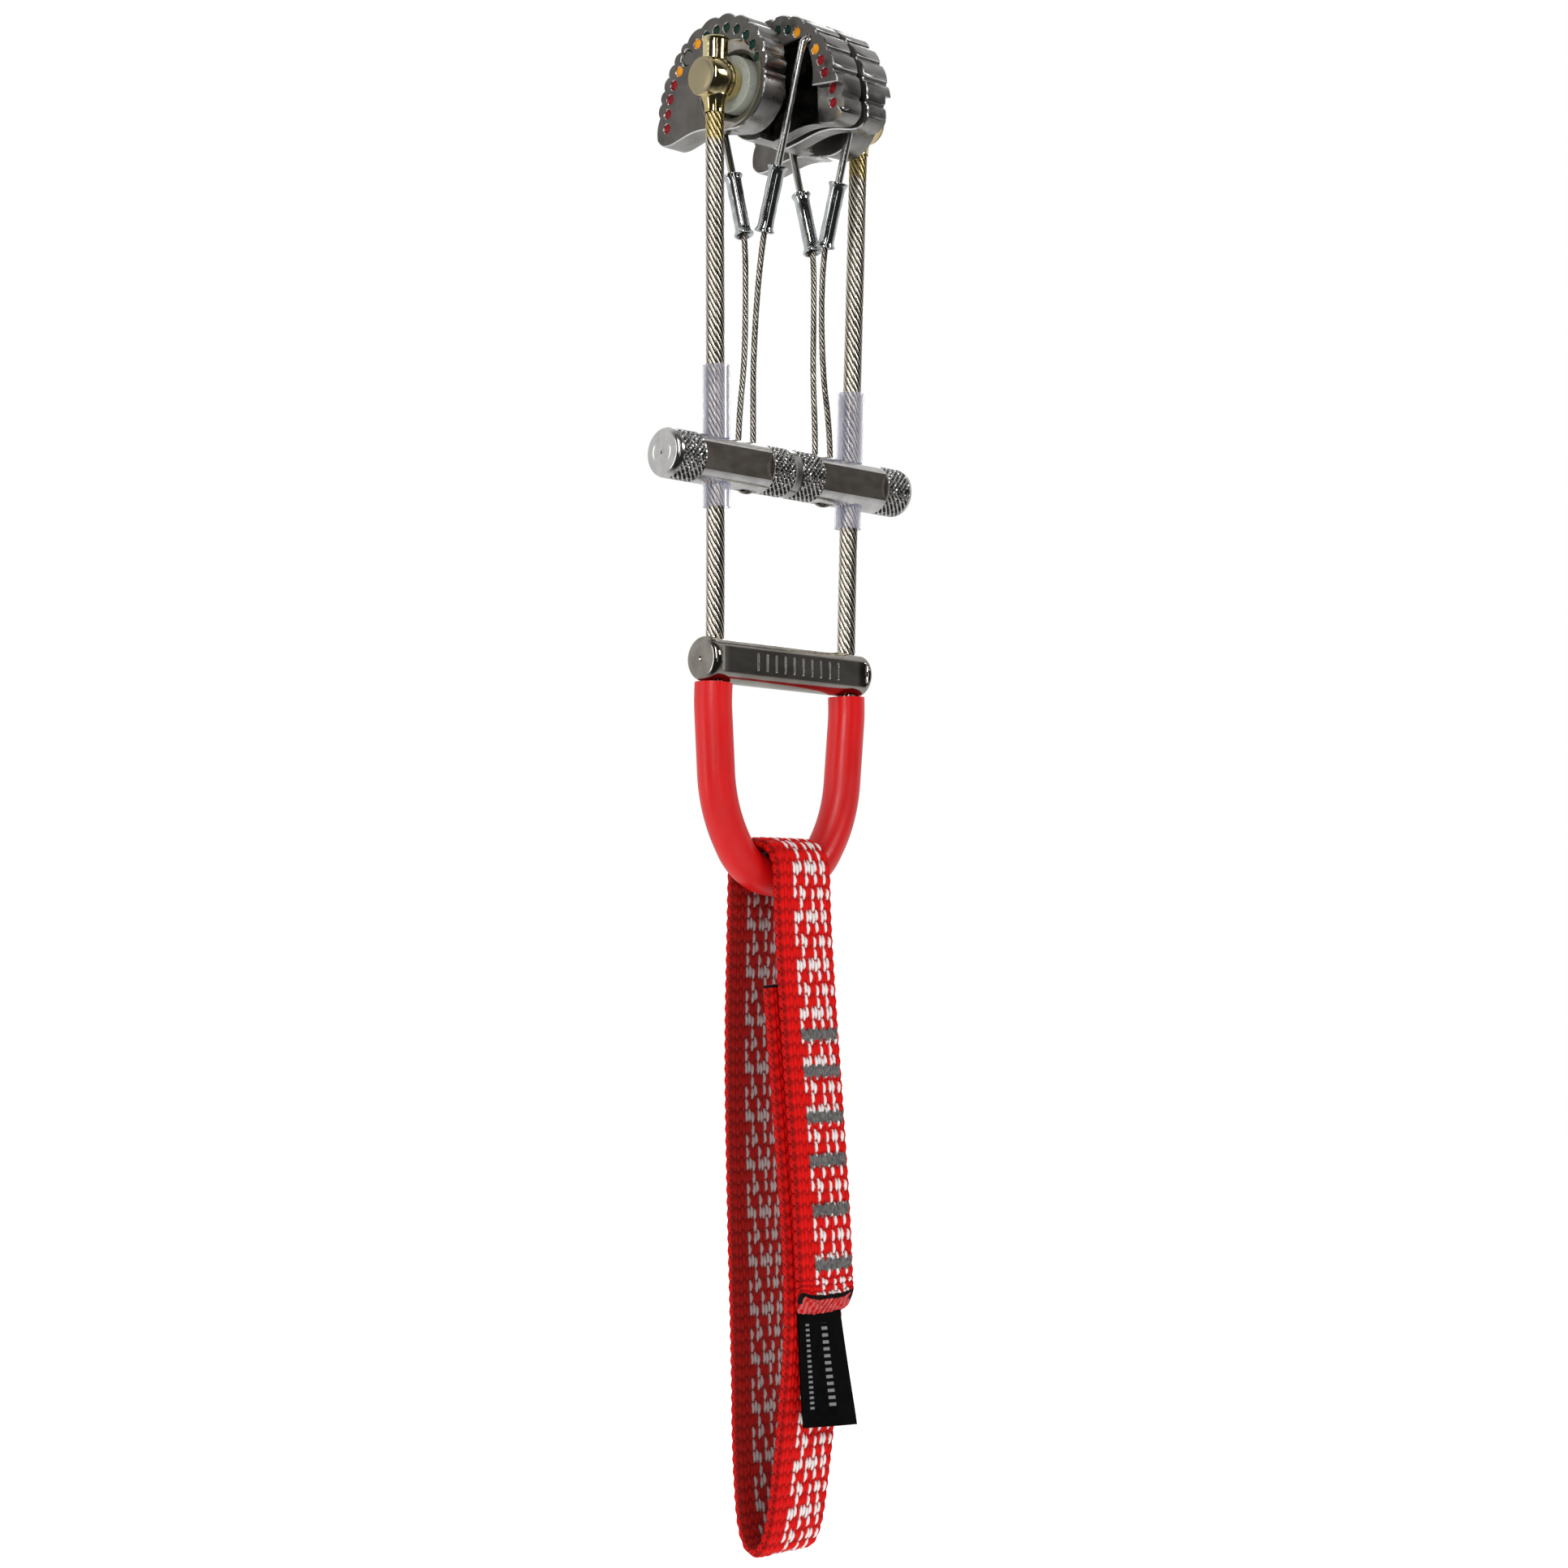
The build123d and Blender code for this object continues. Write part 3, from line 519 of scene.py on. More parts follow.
def dot_place(at):
    """(y, z) of the range dot at an angle, on a lobe that points to +Y."""
    r = rim_radius(at) - 3.0
    return r * math.cos(math.radians(at)), r * math.sin(math.radians(at))


def dot_sink(kind, at):
    """How far below the outer face the surface round a dot lies."""
    return STEP_DEPTH if kind == "inner" and at < -5 else 0


def lobe_face_look(centre, normal, kind, pointing):
    """Index in LOBE_LOOKS for one face, from where it is on the lobe."""
    outer, inner = LOBE_SIDES[kind]
    depth = abs(centre[0])
    y, z = centre[1] * pointing, centre[2]
    radius, angle = math.hypot(y, z), math.degrees(math.atan2(z, y))
    if angle < -100:
        angle += 360
    flat = abs(normal[0]) > 0.9
    for at, colour in zip(DOT_ANGLES, DOT_COLOURS):
        dot_y, dot_z = dot_place(at)
        away = math.hypot(y - dot_y, z - dot_z)
        if away < 1.08 and depth > outer - 2.2:
            surface = outer - dot_sink(kind, at)
            if not flat:
                wall = DOT_LOOKS[colour] if depth < surface - 0.1 and away < 0.96 else POLISHED
                return CHAMFERED if abs(normal[0]) > 0.25 else wall
            if depth < surface - 0.2:
                return DOT_LOOKS[colour]
    if flat and (abs(depth - outer) < 0.03 or abs(depth - inner) < 0.03):
        return BLASTED
    if kind == "outer" and radius < 8.8 and depth > outer - 3.2:
        return DISHED
    if abs(normal[0]) < 0.2 and radius > rim_radius(angle) - 1.3 and -20 < angle < 184:
        return POLISHED
    if kind == "inner" and flat and abs(depth - (outer - STEP_DEPTH)) < 0.05:
        return POLISHED
    if kind == "inner" and radius < 14.2 and inner + 0.1 < depth < outer - 0.05 and z > -12:
        if y > -1 and (flat or (radius < 13.95 and z > -6.5)):
            return POCKET
    return SATIN


def chamfer_sides(mesh, kind):
    """Chamfer the sharp edges of both side faces, and put the faces' points back in plane."""
    outer, inner = LOBE_SIDES[kind]
    sharp = []
    for edge in mesh.edges:
        if len(edge.link_faces) == 2 and edge.calc_face_angle_signed(0) > math.radians(58):
            a, b = (vert.co / MM for vert in edge.verts)
            on_side = all(min(abs(abs(v.x) - outer), abs(abs(v.x) - inner)) < 0.01 for v in (a, b))
            if on_side and min(math.hypot(v.y, v.z) for v in (a, b)) > 7.0:
                sharp.append(edge)
    bmesh.ops.bevel(mesh, geom=sharp, offset=0.2 * MM, offset_type="OFFSET", segments=1,
                    profile=0.5, affect="EDGES", clamp_overlap=False, material=CHAMFERED)
    for vert in mesh.verts:
        for plane in (outer, inner):
            if abs(abs(vert.co.x) - plane * MM) < 0.06 * MM:
                vert.co.x = math.copysign(plane * MM, vert.co.x)


def fill_dots(mesh, kind, pointing, side):
    """A dished disc of enamel in each dot's hole. side is the lobe's sign along X."""
    turn = np.linspace(0, 2 * math.pi, DOT_SIDES, endpoint=False) * side
    for at, colour in zip(DOT_ANGLES, DOT_COLOURS):
        y, z = dot_place(at)
        surface = LOBE_SIDES[kind][0] - dot_sink(kind, at)
        rings = []
        for radius, lift in ((0.93, 0.40), (0.6, 0.33), (0.25, 0.31)):
            x = side * (surface - lift)
            rings.append([mesh.verts.new((x * MM, (pointing * y + radius * math.cos(t)) * MM,
                                          (z + radius * math.sin(t)) * MM)) for t in turn])
        faces = []
        for a, b in zip(rings, rings[1:]):
            for i in range(DOT_SIDES):
                k = (i + 1) % DOT_SIDES
                faces.append(mesh.faces.new((a[i], a[k], b[k], b[i])))
        faces.append(mesh.faces.new(rings[-1]))
        for face in faces:
            face.material_index = DOT_LOOKS[colour]


def cam_lobe(number, kind, pointing):
    """A copy of the CAD lobe with chamfers and enamel, and each surface in its finish."""
    node = f"cam_lobe_{number}"
    mesh = bmesh.new()
    mesh.from_mesh(frame["nodes"][node].data)
    bmesh.ops.remove_doubles(mesh, verts=mesh.verts, dist=2e-6)
    bmesh.ops.dissolve_degenerate(mesh, edges=mesh.edges, dist=1e-7)
    mesh.normal_update()
    for face in mesh.faces:
        face.material_index = lobe_face_look(face.calc_center_median() / MM, face.normal, kind, pointing)
    chamfer_sides(mesh, kind)
    fill_dots(mesh, kind, pointing, -1 if number < 3 else 1)
    data = bpy.data.meshes.new(f"lobe_{number}")
    mesh.to_mesh(data)
    mesh.free()
    data.polygons.foreach_set("use_smooth", [face.material_index > DISHED or abs(face.normal.x) < 0.98
                                             for face in data.polygons])
    data.set_sharp_from_angle(angle=math.radians(24))
    item = bpy.data.objects.new(f"lobe_{number}", data)
    bpy.context.scene.collection.objects.link(item)
    paint(item, *LOBE_LOOKS)
    finish_piece(item, f"lobe_{number}", "cam_alloy", node)


cam_lobe(1, "outer", 1)
cam_lobe(2, "inner", -1)
cam_lobe(3, "inner", -1)
cam_lobe(4, "outer", 1)


# ---------------------------------------------------------------- stem, terminals, washers
right_side = [(x, 0, z) for x, z in STEM_ROUTE]
left_side = [(-x, 0, z) for x, z in reversed(STEM_ROUTE)]
stem = strands("stem_strands", smooth_route(right_side + left_side, 0.9),
               count=12, wire=0.345, outer=1.8, lay=19.0, look=stem_wire)
finish_piece(stem, "stem", "stem_cable", "stem_cable")

for node, look in {
    "terminal_left": brass, "terminal_right": brass,
    "seat_washer_left": nylon, "seat_washer_right": nylon, "centre_washer": nylon,
    "face_washer_left": nylon, "face_washer_right": nylon,
    "lobe_spring_left": spring, "lobe_spring_right": spring,
    "trigger_wire_1": steel, "trigger_wire_2": steel, "trigger_wire_3": steel, "trigger_wire_4": steel,
    "sleeve_left": milky, "sleeve_right": milky, "loop_sheath": sheath_red,
}.items():
    paint(frame["nodes"][node], look)


def lathe(name, profile, origin, along, sides=40):
    """A solid of revolution from (distance along, radius) points round an axis."""
    along = np.array(along, float) / np.linalg.norm(along)
    first = np.cross(along, (0, 1, 0) if abs(along[0]) > 0.9 else (1, 0, 0))
    first /= np.linalg.norm(first)
    second = np.cross(along, first)
    turn = np.linspace(0, 2 * math.pi, sides, endpoint=False)
    ring = first[None] * np.cos(turn)[:, None] + second[None] * np.sin(turn)[:, None]
    points = [np.array(origin) + along * d + ring * r for d, r in profile]
    count = len(profile)
    faces = [(i % count * sides + j, i % count * sides + (j + 1) % sides,
              (i + 1) % count * sides + (j + 1) % sides, (i + 1) % count * sides + j)
             for i in range(count) for j in range(sides)]
    return make_object(name, np.concatenate(points), faces, 40)


def axle_pin():
    """Axle with a smooth brazed dome over each end."""
    dome = [(0.0, 0.01), (0.02, 1.2), (0.09, 2.2), (0.2, 2.9), (0.42, 3.45), (0.75, 3.8), (0.8, 2.48)]
    profile = dome + [(47.3 - d, r) for d, r in reversed(dome)]
    item = lathe("axle_pin", profile, (-23.65, 0, 0), (1, 0, 0.0001), 64)
    paint(item, brass)
    finish_piece(item, "stem", "steel", "axle")


axle_pin()


# ---------------------------------------------------------------- ferrules and thin cables
def ferrule(number):
    """Crimped sleeve with a rolled trumpet at each end, on its trigger wire's line."""
    pivot = np.array(JOINTS[f"wire_{number}_pivot"]["pos_m"]) / MM
    low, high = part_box(f"ferrule_{number}")
    centre = np.array((low + high) / 2) / MM
    along = (centre - pivot) / np.linalg.norm(centre - pivot)
    half = 6.45
    outside = [(0.0, 1.62), (0.03, 1.8), (0.14, 1.92), (0.32, 1.94), (0.5, 1.86), (0.75, 1.7),
               (1.1, 1.58), (1.6, 1.53), (2.6, 1.52), (4.2, 1.545), (5.4, 1.5)]
    outside = outside + [(2 * half - d, r) for d, r in reversed(outside)]
    inside = [(2 * half - 0.25, 1.35), (2 * half - 1.0, 1.0), (2 * half - 1.6, 0.86),
              (1.6, 0.86), (1.0, 1.0), (0.25, 1.35)]
    item = lathe(f"crimp_{number}", outside + inside, centre - along * half, along)
    paint(item, plated)
    finish_piece(item, f"wire_{number}", "plated_steel", f"ferrule_{number}")


def thin_cable(name, route, node):
    """A thin cable of six strands along a route, that moves with the trigger."""
    line = smooth_route(route, 0.45)
    cable = strands(name, line, count=6, wire=0.19, outer=0.6, lay=6.5, look=thin_wire, sides=6)
    finish_piece(cable, "trigger", "thin_cable", node)


for number in range(1, 5):
    ferrule(number)
    thin_cable(f"leg_strands_{number}", [LEG_TOPS[number - 1]] + LEG_ROUTES[number - 1],
               f"cable_leg_{number}")

for name, first, second in (("left", *HOLE_XS[:2]), ("right", *HOLE_XS[2:])):
    down = [(first, 0, -69.0), (first, 0, -75.0), (first, 0, TRIGGER_Z - 4.7)]
    up = [(second, 0, z) for _, _, z in reversed(down)]
    thin_cable(f"under_strands_{name}", down + up, f"bar_cable_{name}")


# ---------------------------------------------------------------- trigger bar and thumb bar
GRIP_RADIUS, GRIP_HALF_LENGTH, GRIP_FLAT = 4.75, 31.75, 3.95
THUMB_RADIUS, THUMB_HALF_LENGTH, THUMB_FLAT = 4.3, 21.3, 3.55
ROUND = 9.0     # a half depth past any bar's radius, which leaves a ring round
KNURL_STEP, KNURL_DEPTH = 0.155, 0.3


def knurl(x, turn, around, pitch):
    """Height of a crossed knurl, 1 on the crossing ridges and 0 in the diamonds between."""
    a = turn * around / (2 * math.pi) + x / pitch
    b = turn * around / (2 * math.pi) - x / pitch
    ridge = np.maximum(np.abs(2 * (a % 1) - 1), np.abs(2 * (b % 1) - 1))
    return np.clip((ridge - 0.4) / 0.4, 0, 1)


def turned_bar(name, z, rings, sides):
    """A closed bar along X from rings of (x, radius function of the turn, half depth)."""
    turn = np.linspace(0, 2 * math.pi, sides, endpoint=False)
    points = []
    for x, radius, half in rings:
        r = radius(turn) if callable(radius) else np.full(sides, float(radius))
        points.append(np.stack([np.full(sides, x), np.clip(r * np.sin(turn), -half, half),
                                z + r * np.cos(turn)], axis=1))
    points = np.concatenate(points)
    faces = grid_faces(len(rings), sides)
    end = (len(rings) - 1) * sides
    faces.append(tuple(range(sides)))
    faces.append(tuple(end + i for i in reversed(range(sides))))
    return make_object(name, points, [tuple(reversed(face)) for face in faces], 32)


def cut(item, cutters):
    """Cut tubes of (start, end, radius) out of an object."""
    tool = join_tubes("cutter", [(np.linspace(a, b, 2), r, 32) for a, b, r in cutters])
    modifier = item.modifiers.new("cut", "BOOLEAN")
    modifier.operation, modifier.solver, modifier.object = "DIFFERENCE", "MANIFOLD", tool
    done = bpy.data.meshes.new_from_object(item.evaluated_get(bpy.context.evaluated_depsgraph_get()))
    item.modifiers.clear()
    item.data = done
    bpy.data.objects.remove(tool)
    done.polygons.foreach_set("use_smooth", [True] * len(done.polygons))
    done.set_sharp_from_angle(angle=math.radians(32))


def stem_x(z):
    """Distance of each stem cable from the middle plane at a height."""
    return 19.7 - 2.2 * -z / 104.0


def trigger_bar():
    """Turned bar with four knurled bands, milled flats and holes for the sleeves and cables."""
    end = [(0.4, 0.02), (0.35, 0.35), (0.0, 0.5), (0.0, 1.3), (0.02, 1.4), (0.0, 1.5), (0.0, 2.1),
           (0.06, 2.25), (0.06, 2.45), (0.0, 2.6), (0.0, 3.3), (0.02, 3.4), (0.0, 3.5), (0.0, 3.85),
           (0.08, 4.1), (0.25, 4.35), (0.5, 4.57), (0.85, 4.7), (1.25, 4.75)]
    milled_flat = (GRIP_RADIUS, GRIP_FLAT)
    half = [(x, "knurl", ROUND) for x in np.arange(30.4, 24.7, -KNURL_STEP)]
    half += [(24.68, 4.7, ROUND), (24.6, GRIP_RADIUS, ROUND), (24.58, *milled_flat), (24.3, *milled_flat)]
    half += [(x, *milled_flat) for x in np.arange(23.0, 7.5, -1.5)]
    half += [(6.92, *milled_flat), (6.9, GRIP_RADIUS, ROUND), (6.8, 4.7, ROUND)]
    half += [(x, "knurl", ROUND) for x in np.arange(6.72, 1.0, -KNURL_STEP)]
    half += [(0.98, 4.6, ROUND), (0.9, 4.58, ROUND), (0.45, 4.58, ROUND)]

    def ring(x, kind, depth):
        if kind == "knurl":
            return (x, lambda turn: GRIP_RADIUS - KNURL_DEPTH + KNURL_DEPTH * knurl(x, turn, 26, 1.15), depth)
        return (x, kind, depth)

    right = [ring(GRIP_HALF_LENGTH - d, r, ROUND) for d, r in end] + [ring(*item) for item in half]
    left = [ring(d - GRIP_HALF_LENGTH, r, ROUND) for d, r in end]
    left += [ring(-x, kind, depth) for x, kind, depth in half]
    item = turned_bar("grip_bar", TRIGGER_Z, left + right[::-1], 192)
    cutters = [((side * (stem_x(-66) - 0.22), 0, -66), (side * (stem_x(-80) - 0.22), 0, -80), 2.68)
               for side in (-1, 1)]
    cutters += [((x, 0, -66.0), (x, 0, -80.0), 0.78) for x in HOLE_XS]
    groove = TRIGGER_Z - 4.6
    cutters += [((a, 0, groove), (b, 0, groove), 1.25) for a, b in (HOLE_XS[:2], HOLE_XS[2:])]
    cut(item, cutters)
    paint(item, turned, milled)
    for face in item.data.polygons:
        centre = face.center / MM
        if 6.9 < abs(centre.x) < 24.6 and abs(abs(centre.y) - GRIP_FLAT) < 0.03:
            face.material_index = 1
    finish_piece(item, "trigger", "trigger_bar", "trigger_bar")


trigger_bar()


def thumb_bar():
    """Round bar with a long flat on the front and back, that meets a round collar in an arc."""
    end = [(0.32, 0.02), (0.3, 0.35), (0.12, 0.55), (0.1, 0.8), (0.06, 2.4), (0.1, 3.3), (0.2, 3.7),
           (0.36, 3.95), (0.6, 4.15), (0.95, 4.27), (1.4, 4.3)]
    left = [(-THUMB_HALF_LENGTH + d, r, ROUND) for d, r in end] + [(-19.7, THUMB_RADIUS, ROUND)]
    left += [(x, THUMB_RADIUS, half) for x, half in (
        (-19.5, 4.22), (-19.35, 4.05), (-19.15, 3.88), (-18.9, 3.72), (-18.6, 3.6), (-18.2, THUMB_FLAT))]
    middle = [(x, THUMB_RADIUS, THUMB_FLAT) for x in np.arange(-17.0, 18.5, 1.5)]
    right = [(x, THUMB_RADIUS, half) for x, half in (
        (19.2, THUMB_FLAT), (19.45, 3.62), (19.65, 3.78), (19.8, 4.0))]
    right += [(THUMB_HALF_LENGTH - d, r, ROUND) for d, r in reversed(end) if d < 1.3]
    item = turned_bar("thumb_rest", THUMB_Z, left + middle + right, 128)
    cut(item, [((side * 17.6, 0, -104.0), (side * 17.95, 0, -118.0), 1.95) for side in (-1, 1)])
    paint(item, thumb_metal)
    finish_piece(item, "stem", "thumb_bar", "thumb_bar")


thumb_bar()


# ---------------------------------------------------------------- sling
def on_sling(y, across, z):
    """A point of the leaning sling from its own y, place across the width, and height."""
    drop = z - LOOP_Z
    return np.stack([across * math.cos(LEAN) - drop * math.sin(LEAN), y,
                     LOOP_Z + drop * math.cos(LEAN) + across * math.sin(LEAN)], axis=-1)


WHITE_ROWS = np.array([
    [1, 1, 1, 0, 1, 1, 1, 1, 0, 1, 1, 0],
    [0, 0, 1, 0, 0, 0, 1, 0, 0, 1, 0, 0],
    [1, 0, 1, 1, 0, 0, 1, 0, 1, 1, 0, 1],
    [1, 0, 0, 0, 1, 0, 0, 1, 0, 0, 1, 0],
])
PATTERN_START, YARN = -3.3, 0.79
CAP_RINGS = 12
FRONT_ROWS = 230        # rows of the band on its front layer, which the tacks go through
TACK_POINTS = 29


def sideways(along):
    """How far the strap runs off its centre line, at a length along it."""
    return np.interp(along, [0, 40, 90, 200, 250, 290, 342], [-0.6, -0.3, 0, 0, -0.9, -1.2, -1.5])


def weave(along, across):
    """Height in millimetres, share of white yarn, and share of painted shade in the gaps on a face of the
    webbing.
    """
    row = along / WEAVE_ROW
    column = (across - PATTERN_START) / YARN
    shift = 0.14 * np.sin(np.floor(column) * 2.4)
    phase = (row + shift) % 1
    bulge = np.sin(math.pi * phase) ** 0.6
    waist = 0.3 + 0.72 * np.sin(math.pi * phase) ** 0.5
    rib = np.sqrt(np.clip(1 - (np.abs(2 * (column % 1) - 1) / waist) ** 2, 0, 1))
    height = 0.14 * bulge + 0.28 * rib * bulge
    number = np.clip(np.floor(column).astype(int), 0, 11)
    inside = (column >= 0) & (column < 12)
    white = WHITE_ROWS[np.floor(row + shift).astype(int) % 4, number] * inside
    white = white * (rib * bulge > 0.22)
    # Painted shade: dark in the gaps between the yarns and at the rows' ends.
    gap = np.clip((0.72 - bulge * rib) / 0.72, 0, 1)
    return height, white, gap


def webbing_band():
    """The strap as one woven band along its route, with scalloped knitted edges."""
    route = smooth_route([(y, 0, z) for y, z in SLING_ROUTE], WEAVE_ROW / 8)
    middle = route[:, [0, 2]]
    tangent = np.gradient(middle, axis=0)
    tangent /= np.linalg.norm(tangent, axis=1)[:, None]
    normal = np.stack([tangent[:, 1], -tangent[:, 0]], axis=1)
    length = np.concatenate([[0], np.cumsum(np.linalg.norm(np.diff(middle, axis=0), axis=1))])
    face = np.linspace(-1, 1, 96)
    edge = np.linspace(-1, 1, 12)[1:-1]
    flat = STRAP_HALF_WIDTH - 0.3
    section = [(v * flat, 1, 0.0) for v in face] + [(flat, -w, 1.0) for w in edge]
    section += [(-v * flat, -1, 0.0) for v in face] + [(-flat, w, 1.0) for w in edge]
    section = np.array(section)
    across, side, is_edge = section.T
    u, v = np.meshgrid(length, across, indexing="ij")
    height, white, shade = weave(u, v)
    thick = STRAP_HALF_THICKNESS - 0.3
    round_off = np.sqrt(np.clip(1 - (np.abs(across) / STRAP_HALF_WIDTH) ** 10, 0, 1))
    scallop = np.abs(np.sin(math.pi * u / WEAVE_ROW)) ** 0.7
    zig = np.abs(((u / WEAVE_ROW) % 1) * 2 - 1) * 1.2 - 0.6
    stitch = np.exp(-((side[None] - zig) / 0.28) ** 2) + np.exp(-((side[None] + zig) / 0.28) ** 2)
    rounded = np.sqrt(np.clip(1 - side[None] ** 2, 0, 1))
    bulge_out = 0.36 * scallop + 0.35 * rounded + 0.14 * np.clip(stitch, 0, 1)
    out = np.where(is_edge[None] > 0, side[None] * thick * 0.98,
                   np.sign(side)[None] * (thick + height * round_off[None]))
    face_wave = 0.12 * scallop * (np.abs(v) > 5.5)
    wide = v + np.sign(v) * np.where(is_edge[None] > 0, bulge_out, face_wave)
    # The front end is puffed out and cut on a slant, its outer layer shorter.
    swell = np.exp(-length / 1.4)
    out = out * (1 + 0.45 * swell)[:, None]
    oval = 1 - (across / STRAP_HALF_WIDTH) ** 4
    out = out * (1 - swell[:, None] * 0.35 * (1 - oval)[None])
    slant = (3.4 * (1 - side[None]) / 2 + 1.2 * (1 - oval)[None]) * np.clip(1 - length / 7.0, 0, 1)[:, None]
    white = np.where(is_edge[None] > 0, 0, white)
    edge_shade = 0.75 * (1 - np.clip(stitch, 0, 1)) + 0.35 * (1 - scallop)
    shade = np.where(is_edge[None] > 0, edge_shade, 0.55 * shade)
    # Partly painted shade: faces on the loop's inside are darkened, partly as the weave's duller reverse
    # side.
    inner = np.broadcast_to(np.clip(side, 0, 1)[None] * 0.58, u.shape)
    burnt = np.exp(-(u / 1.3) ** 2) * np.where(side < 0, 1.0, 0.3)[None]
    burnt = burnt + np.exp(-((length[-1] - u) / 0.5) ** 2)
    y = middle[:, 0, None] + normal[:, 0, None] * out + tangent[:, 0, None] * slant
    z = middle[:, 1, None] + normal[:, 1, None] * out + tangent[:, 1, None] * slant
    points = on_sling(y, wide + sideways(u), z)
    columns = len(section)

    def capped(values, cap):
        """The rows of values with rows for the two cut faces at the ends."""
        return np.concatenate([cap[:CAP_RINGS], values, cap[CAP_RINGS:]])

    shares = np.concatenate([[0.04], np.linspace(0.15, 0.95, CAP_RINGS - 1)])
    caps = []
    for row, away in ((0, -tangent[0]), (-1, tangent[-1])):
        centre = points[row].mean(axis=0)
        push = on_sling(away[0], 0.0, away[1] + LOOP_Z) - on_sling(0.0, 0.0, LOOP_Z)
        rings = [centre + (points[row] - centre) * k + push * 0.45 * (1 - k ** 3) for k in shares]
        caps += rings if row == 0 else rings[::-1]
    points = capped(points, np.array(caps)).reshape(-1, 3)
    stripe = np.sin(shares[:, None] * (across * 5.2 + side * 2.0)[None]) > 0.25
    thread_share = 0.22 * np.concatenate([stripe, stripe[::-1]])
    white, shade = capped(white, thread_share), capped(shade, 0.35 * (1 - thread_share))
    edge_share = np.concatenate([shares, shares[::-1]])[:, None] ** 8
    inner = capped(inner, np.zeros((2 * CAP_RINGS, columns)))
    burnt = capped(burnt, edge_share * np.where(side < 0, 1.0, 0.2)[None])
    v, u = (capped(values, np.repeat(values[:1], 2 * CAP_RINGS, axis=0)) for values in (v, u))
    rows = len(route) + 2 * CAP_RINGS
    faces = grid_faces(rows, columns)
    last = (rows - 1) * columns
    faces.append(tuple(range(columns)))
    faces.append(tuple(last + i for i in reversed(range(columns))))
    item = make_object("webbing", points, faces, 80)
    for name, values in (("white", white), ("shade", shade), ("inner", inner), ("burnt", burnt)):
        set_attribute(item, name, values)
    layer = item.data.uv_layers.new(name="weave")
    loops = np.zeros(len(item.data.loops), np.int32)
    item.data.loops.foreach_get("vertex_index", loops)
    flat_uv = np.stack([v.ravel() * MM, u.ravel() * MM], axis=1)[loops]
    layer.data.foreach_set("uv", flat_uv.astype(np.float32).ravel())
    paint(item, webbing)
    finish_piece(item, "sling", "webbing", "sling_webbing")
    return middle, normal, length


middle, normal, length = webbing_band()


def bar_tacks():
    """Six bands of dense zigzag stitching over the two layers."""
    tubes = []
    for number, height in enumerate(TACK_HEIGHTS):
        near = int(np.argmin(np.abs(middle[:FRONT_ROWS, 1] - height)))
        base = middle[near]
        out = normal[near] if normal[near][0] < 0 else -normal[near]
        down = np.array([-out[1], out[0]])
        line = []
        for k in range(TACK_POINTS):
            across = -3.4 + 9.4 * k / (TACK_POINTS - 1)
            rise = (1.0 if k % 2 else -1.0) + 0.28 * math.sin(k * 5.1 + number)
            lift = STRAP_HALF_THICKNESS + 0.12 + 0.04 * math.sin(k * 2.7)
            point = base + out * lift + down * rise
            line.append(on_sling(point[0], across, point[1]))
            dip = base + out * (lift - 0.12) + down * rise * 1.12
            line.append(on_sling(dip[0], across + 0.1, dip[1]))
        line = np.array(line) + (float(sideways(length[near])), 0, 0)
        tubes.append((line, 0.22, 6))
    item = join_tubes("tack_stitches", tubes)
    paint(item, thread)
    finish_piece(item, "sling", "thread", "bar_tacks")


bar_tacks()


def label():
    """Folded black tape, sewn in between the layers, that leans out to the right."""
    corners = [np.array(c, float) for c in ((-5.4, -11.75, -232.6), (5.7, -11.9, -232.8),
                                            (10.2, -12.4, -254.5), (-3.9, -12.3, -254.0))]
    rows, columns = 30, 20
    points = []
    for layer in (0, 1):
        for i in range(rows):
            t = i / (rows - 1)
            t = t if layer == 0 else 1 - t
            for j in range(columns):
                s = j / (columns - 1)
                place = ((corners[0] * (1 - s) + corners[1] * s) * (1 - t)
                         + (corners[3] * (1 - s) + corners[2] * s) * t)
                wave = 0.25 * math.sin(2.4 * t + 1.4 * s) + 0.12 * math.sin(7 * s)
                place[1] += wave * t + (0.16 if layer else -0.16) * (1 - t ** 8)
                points.append(place)
    item = make_object("label_tape", points, grid_faces(2 * rows, columns, closed=False), 60)
    layer = item.data.uv_layers.new(name="tape")
    for loop, spot in zip(item.data.loops, layer.uv):
        row, column = divmod(loop.vertex_index, columns)
        spot.vector = (column / (columns - 1), row / (rows - 1))
    paint(item, label_satin)
    finish_piece(item, "sling", "label", "sling_label")


label()


# ---------------------------------------------------------------- stage, light and camera
def stage():
    """A pale floor under the hanging device."""
    side = 2500.0
    floor = make_object("floor", [(-side, -side, -330), (side, -side, -330), (side, side, -330),
                                  (-side, side, -330)], [(0, 1, 2, 3)])
    look = Look("floor_paper", Roughness=0.9)
    look.feed("Base Color", look.mix(look.noise(times(2.0)), rgba((0.5, 0.5, 0.5)), rgba((0.52, 0.52, 0.52))))
    look.shader.inputs["Emission Color"].default_value = (1, 1, 1, 1)
    look.shader.inputs["Emission Strength"].default_value = 0.9
    paint(floor, look)
    floor.visible_glossy = False


stage()


def softbox(name, place, size, power, toward=(0, 0, -0.09), colour=(1, 1, 1)):
    """Area light that faces a point, in metres."""
    data = bpy.data.lights.new(name, "AREA")
    data.shape, data.size, data.size_y = "RECTANGLE", size[0], size[1]
    data.energy, data.color = power, colour
    lamp = bpy.data.objects.new(name, data)
    lamp.location = place
    lamp.rotation_euler = (Vector(toward) - Vector(place)).to_track_quat("-Z", "Y").to_euler()
    bpy.context.scene.collection.objects.link(lamp)


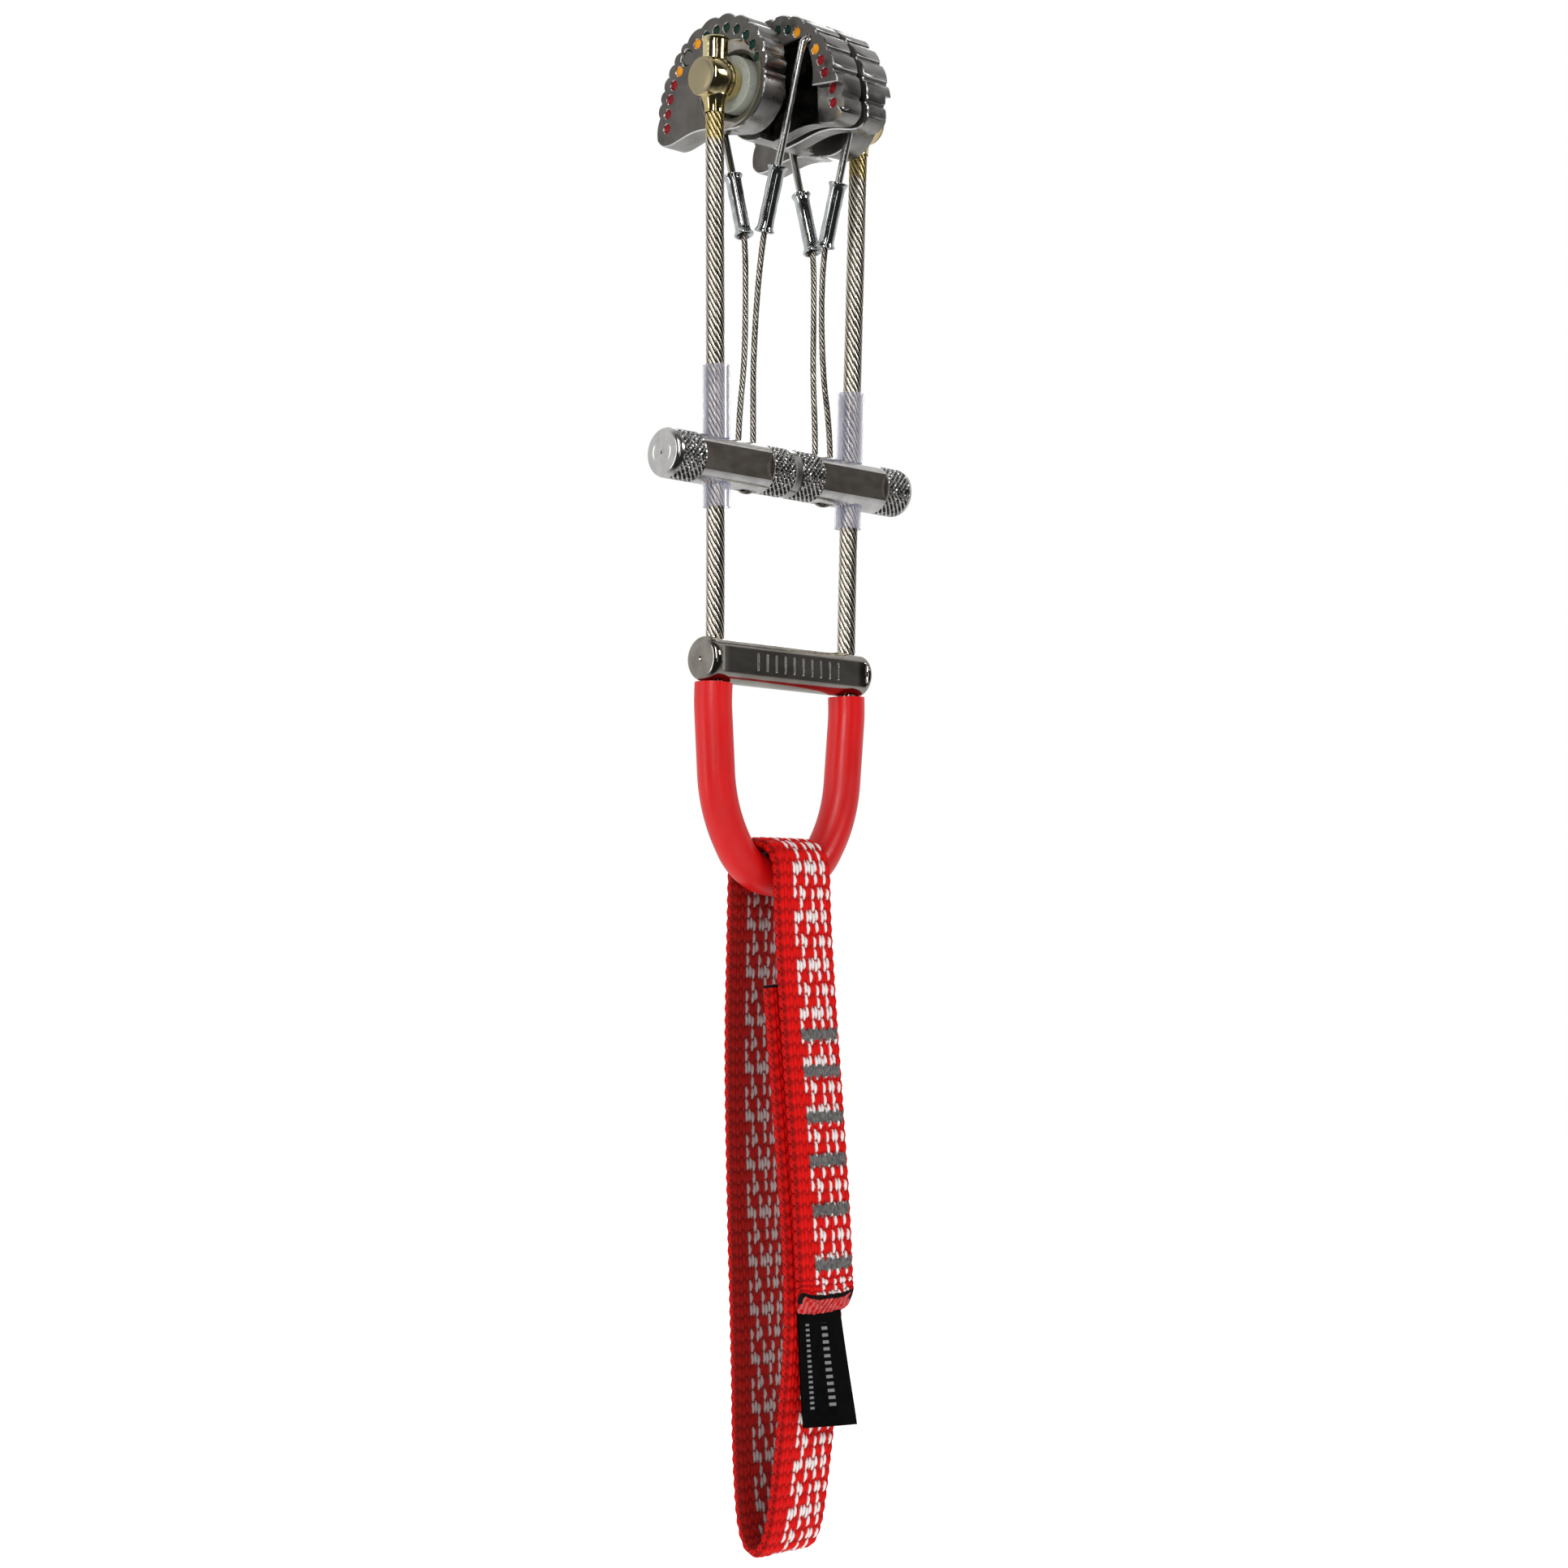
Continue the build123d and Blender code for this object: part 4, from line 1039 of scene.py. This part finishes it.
softbox("key", (-0.78, -0.5, 0.3), (0.16, 0.75), 4.2)
softbox("fill", (0.35, -0.85, 0.35), (0.3, 0.3), 2.4)
softbox("strip", (-0.52, -0.9, 0.25), (0.05, 1.4), 0.9)
softbox("rim", (0.6, 0.5, 0.3), (0.2, 0.6), 1.0)
softbox("left_back", (-0.9, 0.35, -0.05), (0.2, 0.7), 1.0)


def world():
    """White to look at, and in reflections bright behind and dark in front."""
    made = bpy.data.worlds.new("studio")
    bpy.context.scene.world = made
    made.use_nodes = True
    tree = made.node_tree
    nodes, links = tree.nodes, tree.links
    nodes.clear()
    out = nodes.new("ShaderNodeOutputWorld")
    seen, around = nodes.new("ShaderNodeBackground"), nodes.new("ShaderNodeBackground")
    seen.inputs[0].default_value = (1, 1, 1, 1)
    place = nodes.new("ShaderNodeTexCoord")
    split = nodes.new("ShaderNodeSeparateXYZ")
    links.new(place.outputs["Generated"], split.inputs[0])
    front = nodes.new("ShaderNodeMapRange")
    front.interpolation_type = "SMOOTHSTEP"
    for key, value in {"From Min": -0.52, "From Max": 0.35, "To Min": 0.03, "To Max": 0.85}.items():
        front.inputs[key].default_value = value
    turned_right = nodes.new("ShaderNodeMath")
    turned_right.operation = "MULTIPLY_ADD"
    links.new(split.outputs["X"], turned_right.inputs[0])
    turned_right.inputs[1].default_value = 0.55
    links.new(split.outputs["Y"], turned_right.inputs[2])
    links.new(turned_right.outputs[0], front.inputs["Value"])
    links.new(front.outputs[0], around.inputs[1])
    path, mixed = nodes.new("ShaderNodeLightPath"), nodes.new("ShaderNodeMixShader")
    links.new(path.outputs["Is Camera Ray"], mixed.inputs[0])
    links.new(around.outputs[0], mixed.inputs[1])
    links.new(seen.outputs[0], mixed.inputs[2])
    links.new(mixed.outputs[0], out.inputs[0])


world()


def camera():
    """The hanging view: a little below the head, from the front left."""
    data = bpy.data.cameras.new("camera")
    data.lens, data.sensor_width = 67.91, 36.0
    data.clip_start, data.clip_end = 0.01, 20.0
    item = bpy.data.objects.new("camera", data)
    right, up, back = (0.7132, -0.7008, 0.0122), (-0.0560, -0.0396, 0.9976), (-0.6987, -0.7122, -0.0675)
    place = (-0.3965, -0.4052, -0.1718)
    item.matrix_world = Matrix([*zip(right, up, back, place), (0, 0, 0, 1)])
    bpy.context.scene.collection.objects.link(item)
    bpy.context.scene.camera = item


camera()
bpy.context.scene.view_settings.view_transform = "Standard"
bpy.context.view_layer.update()
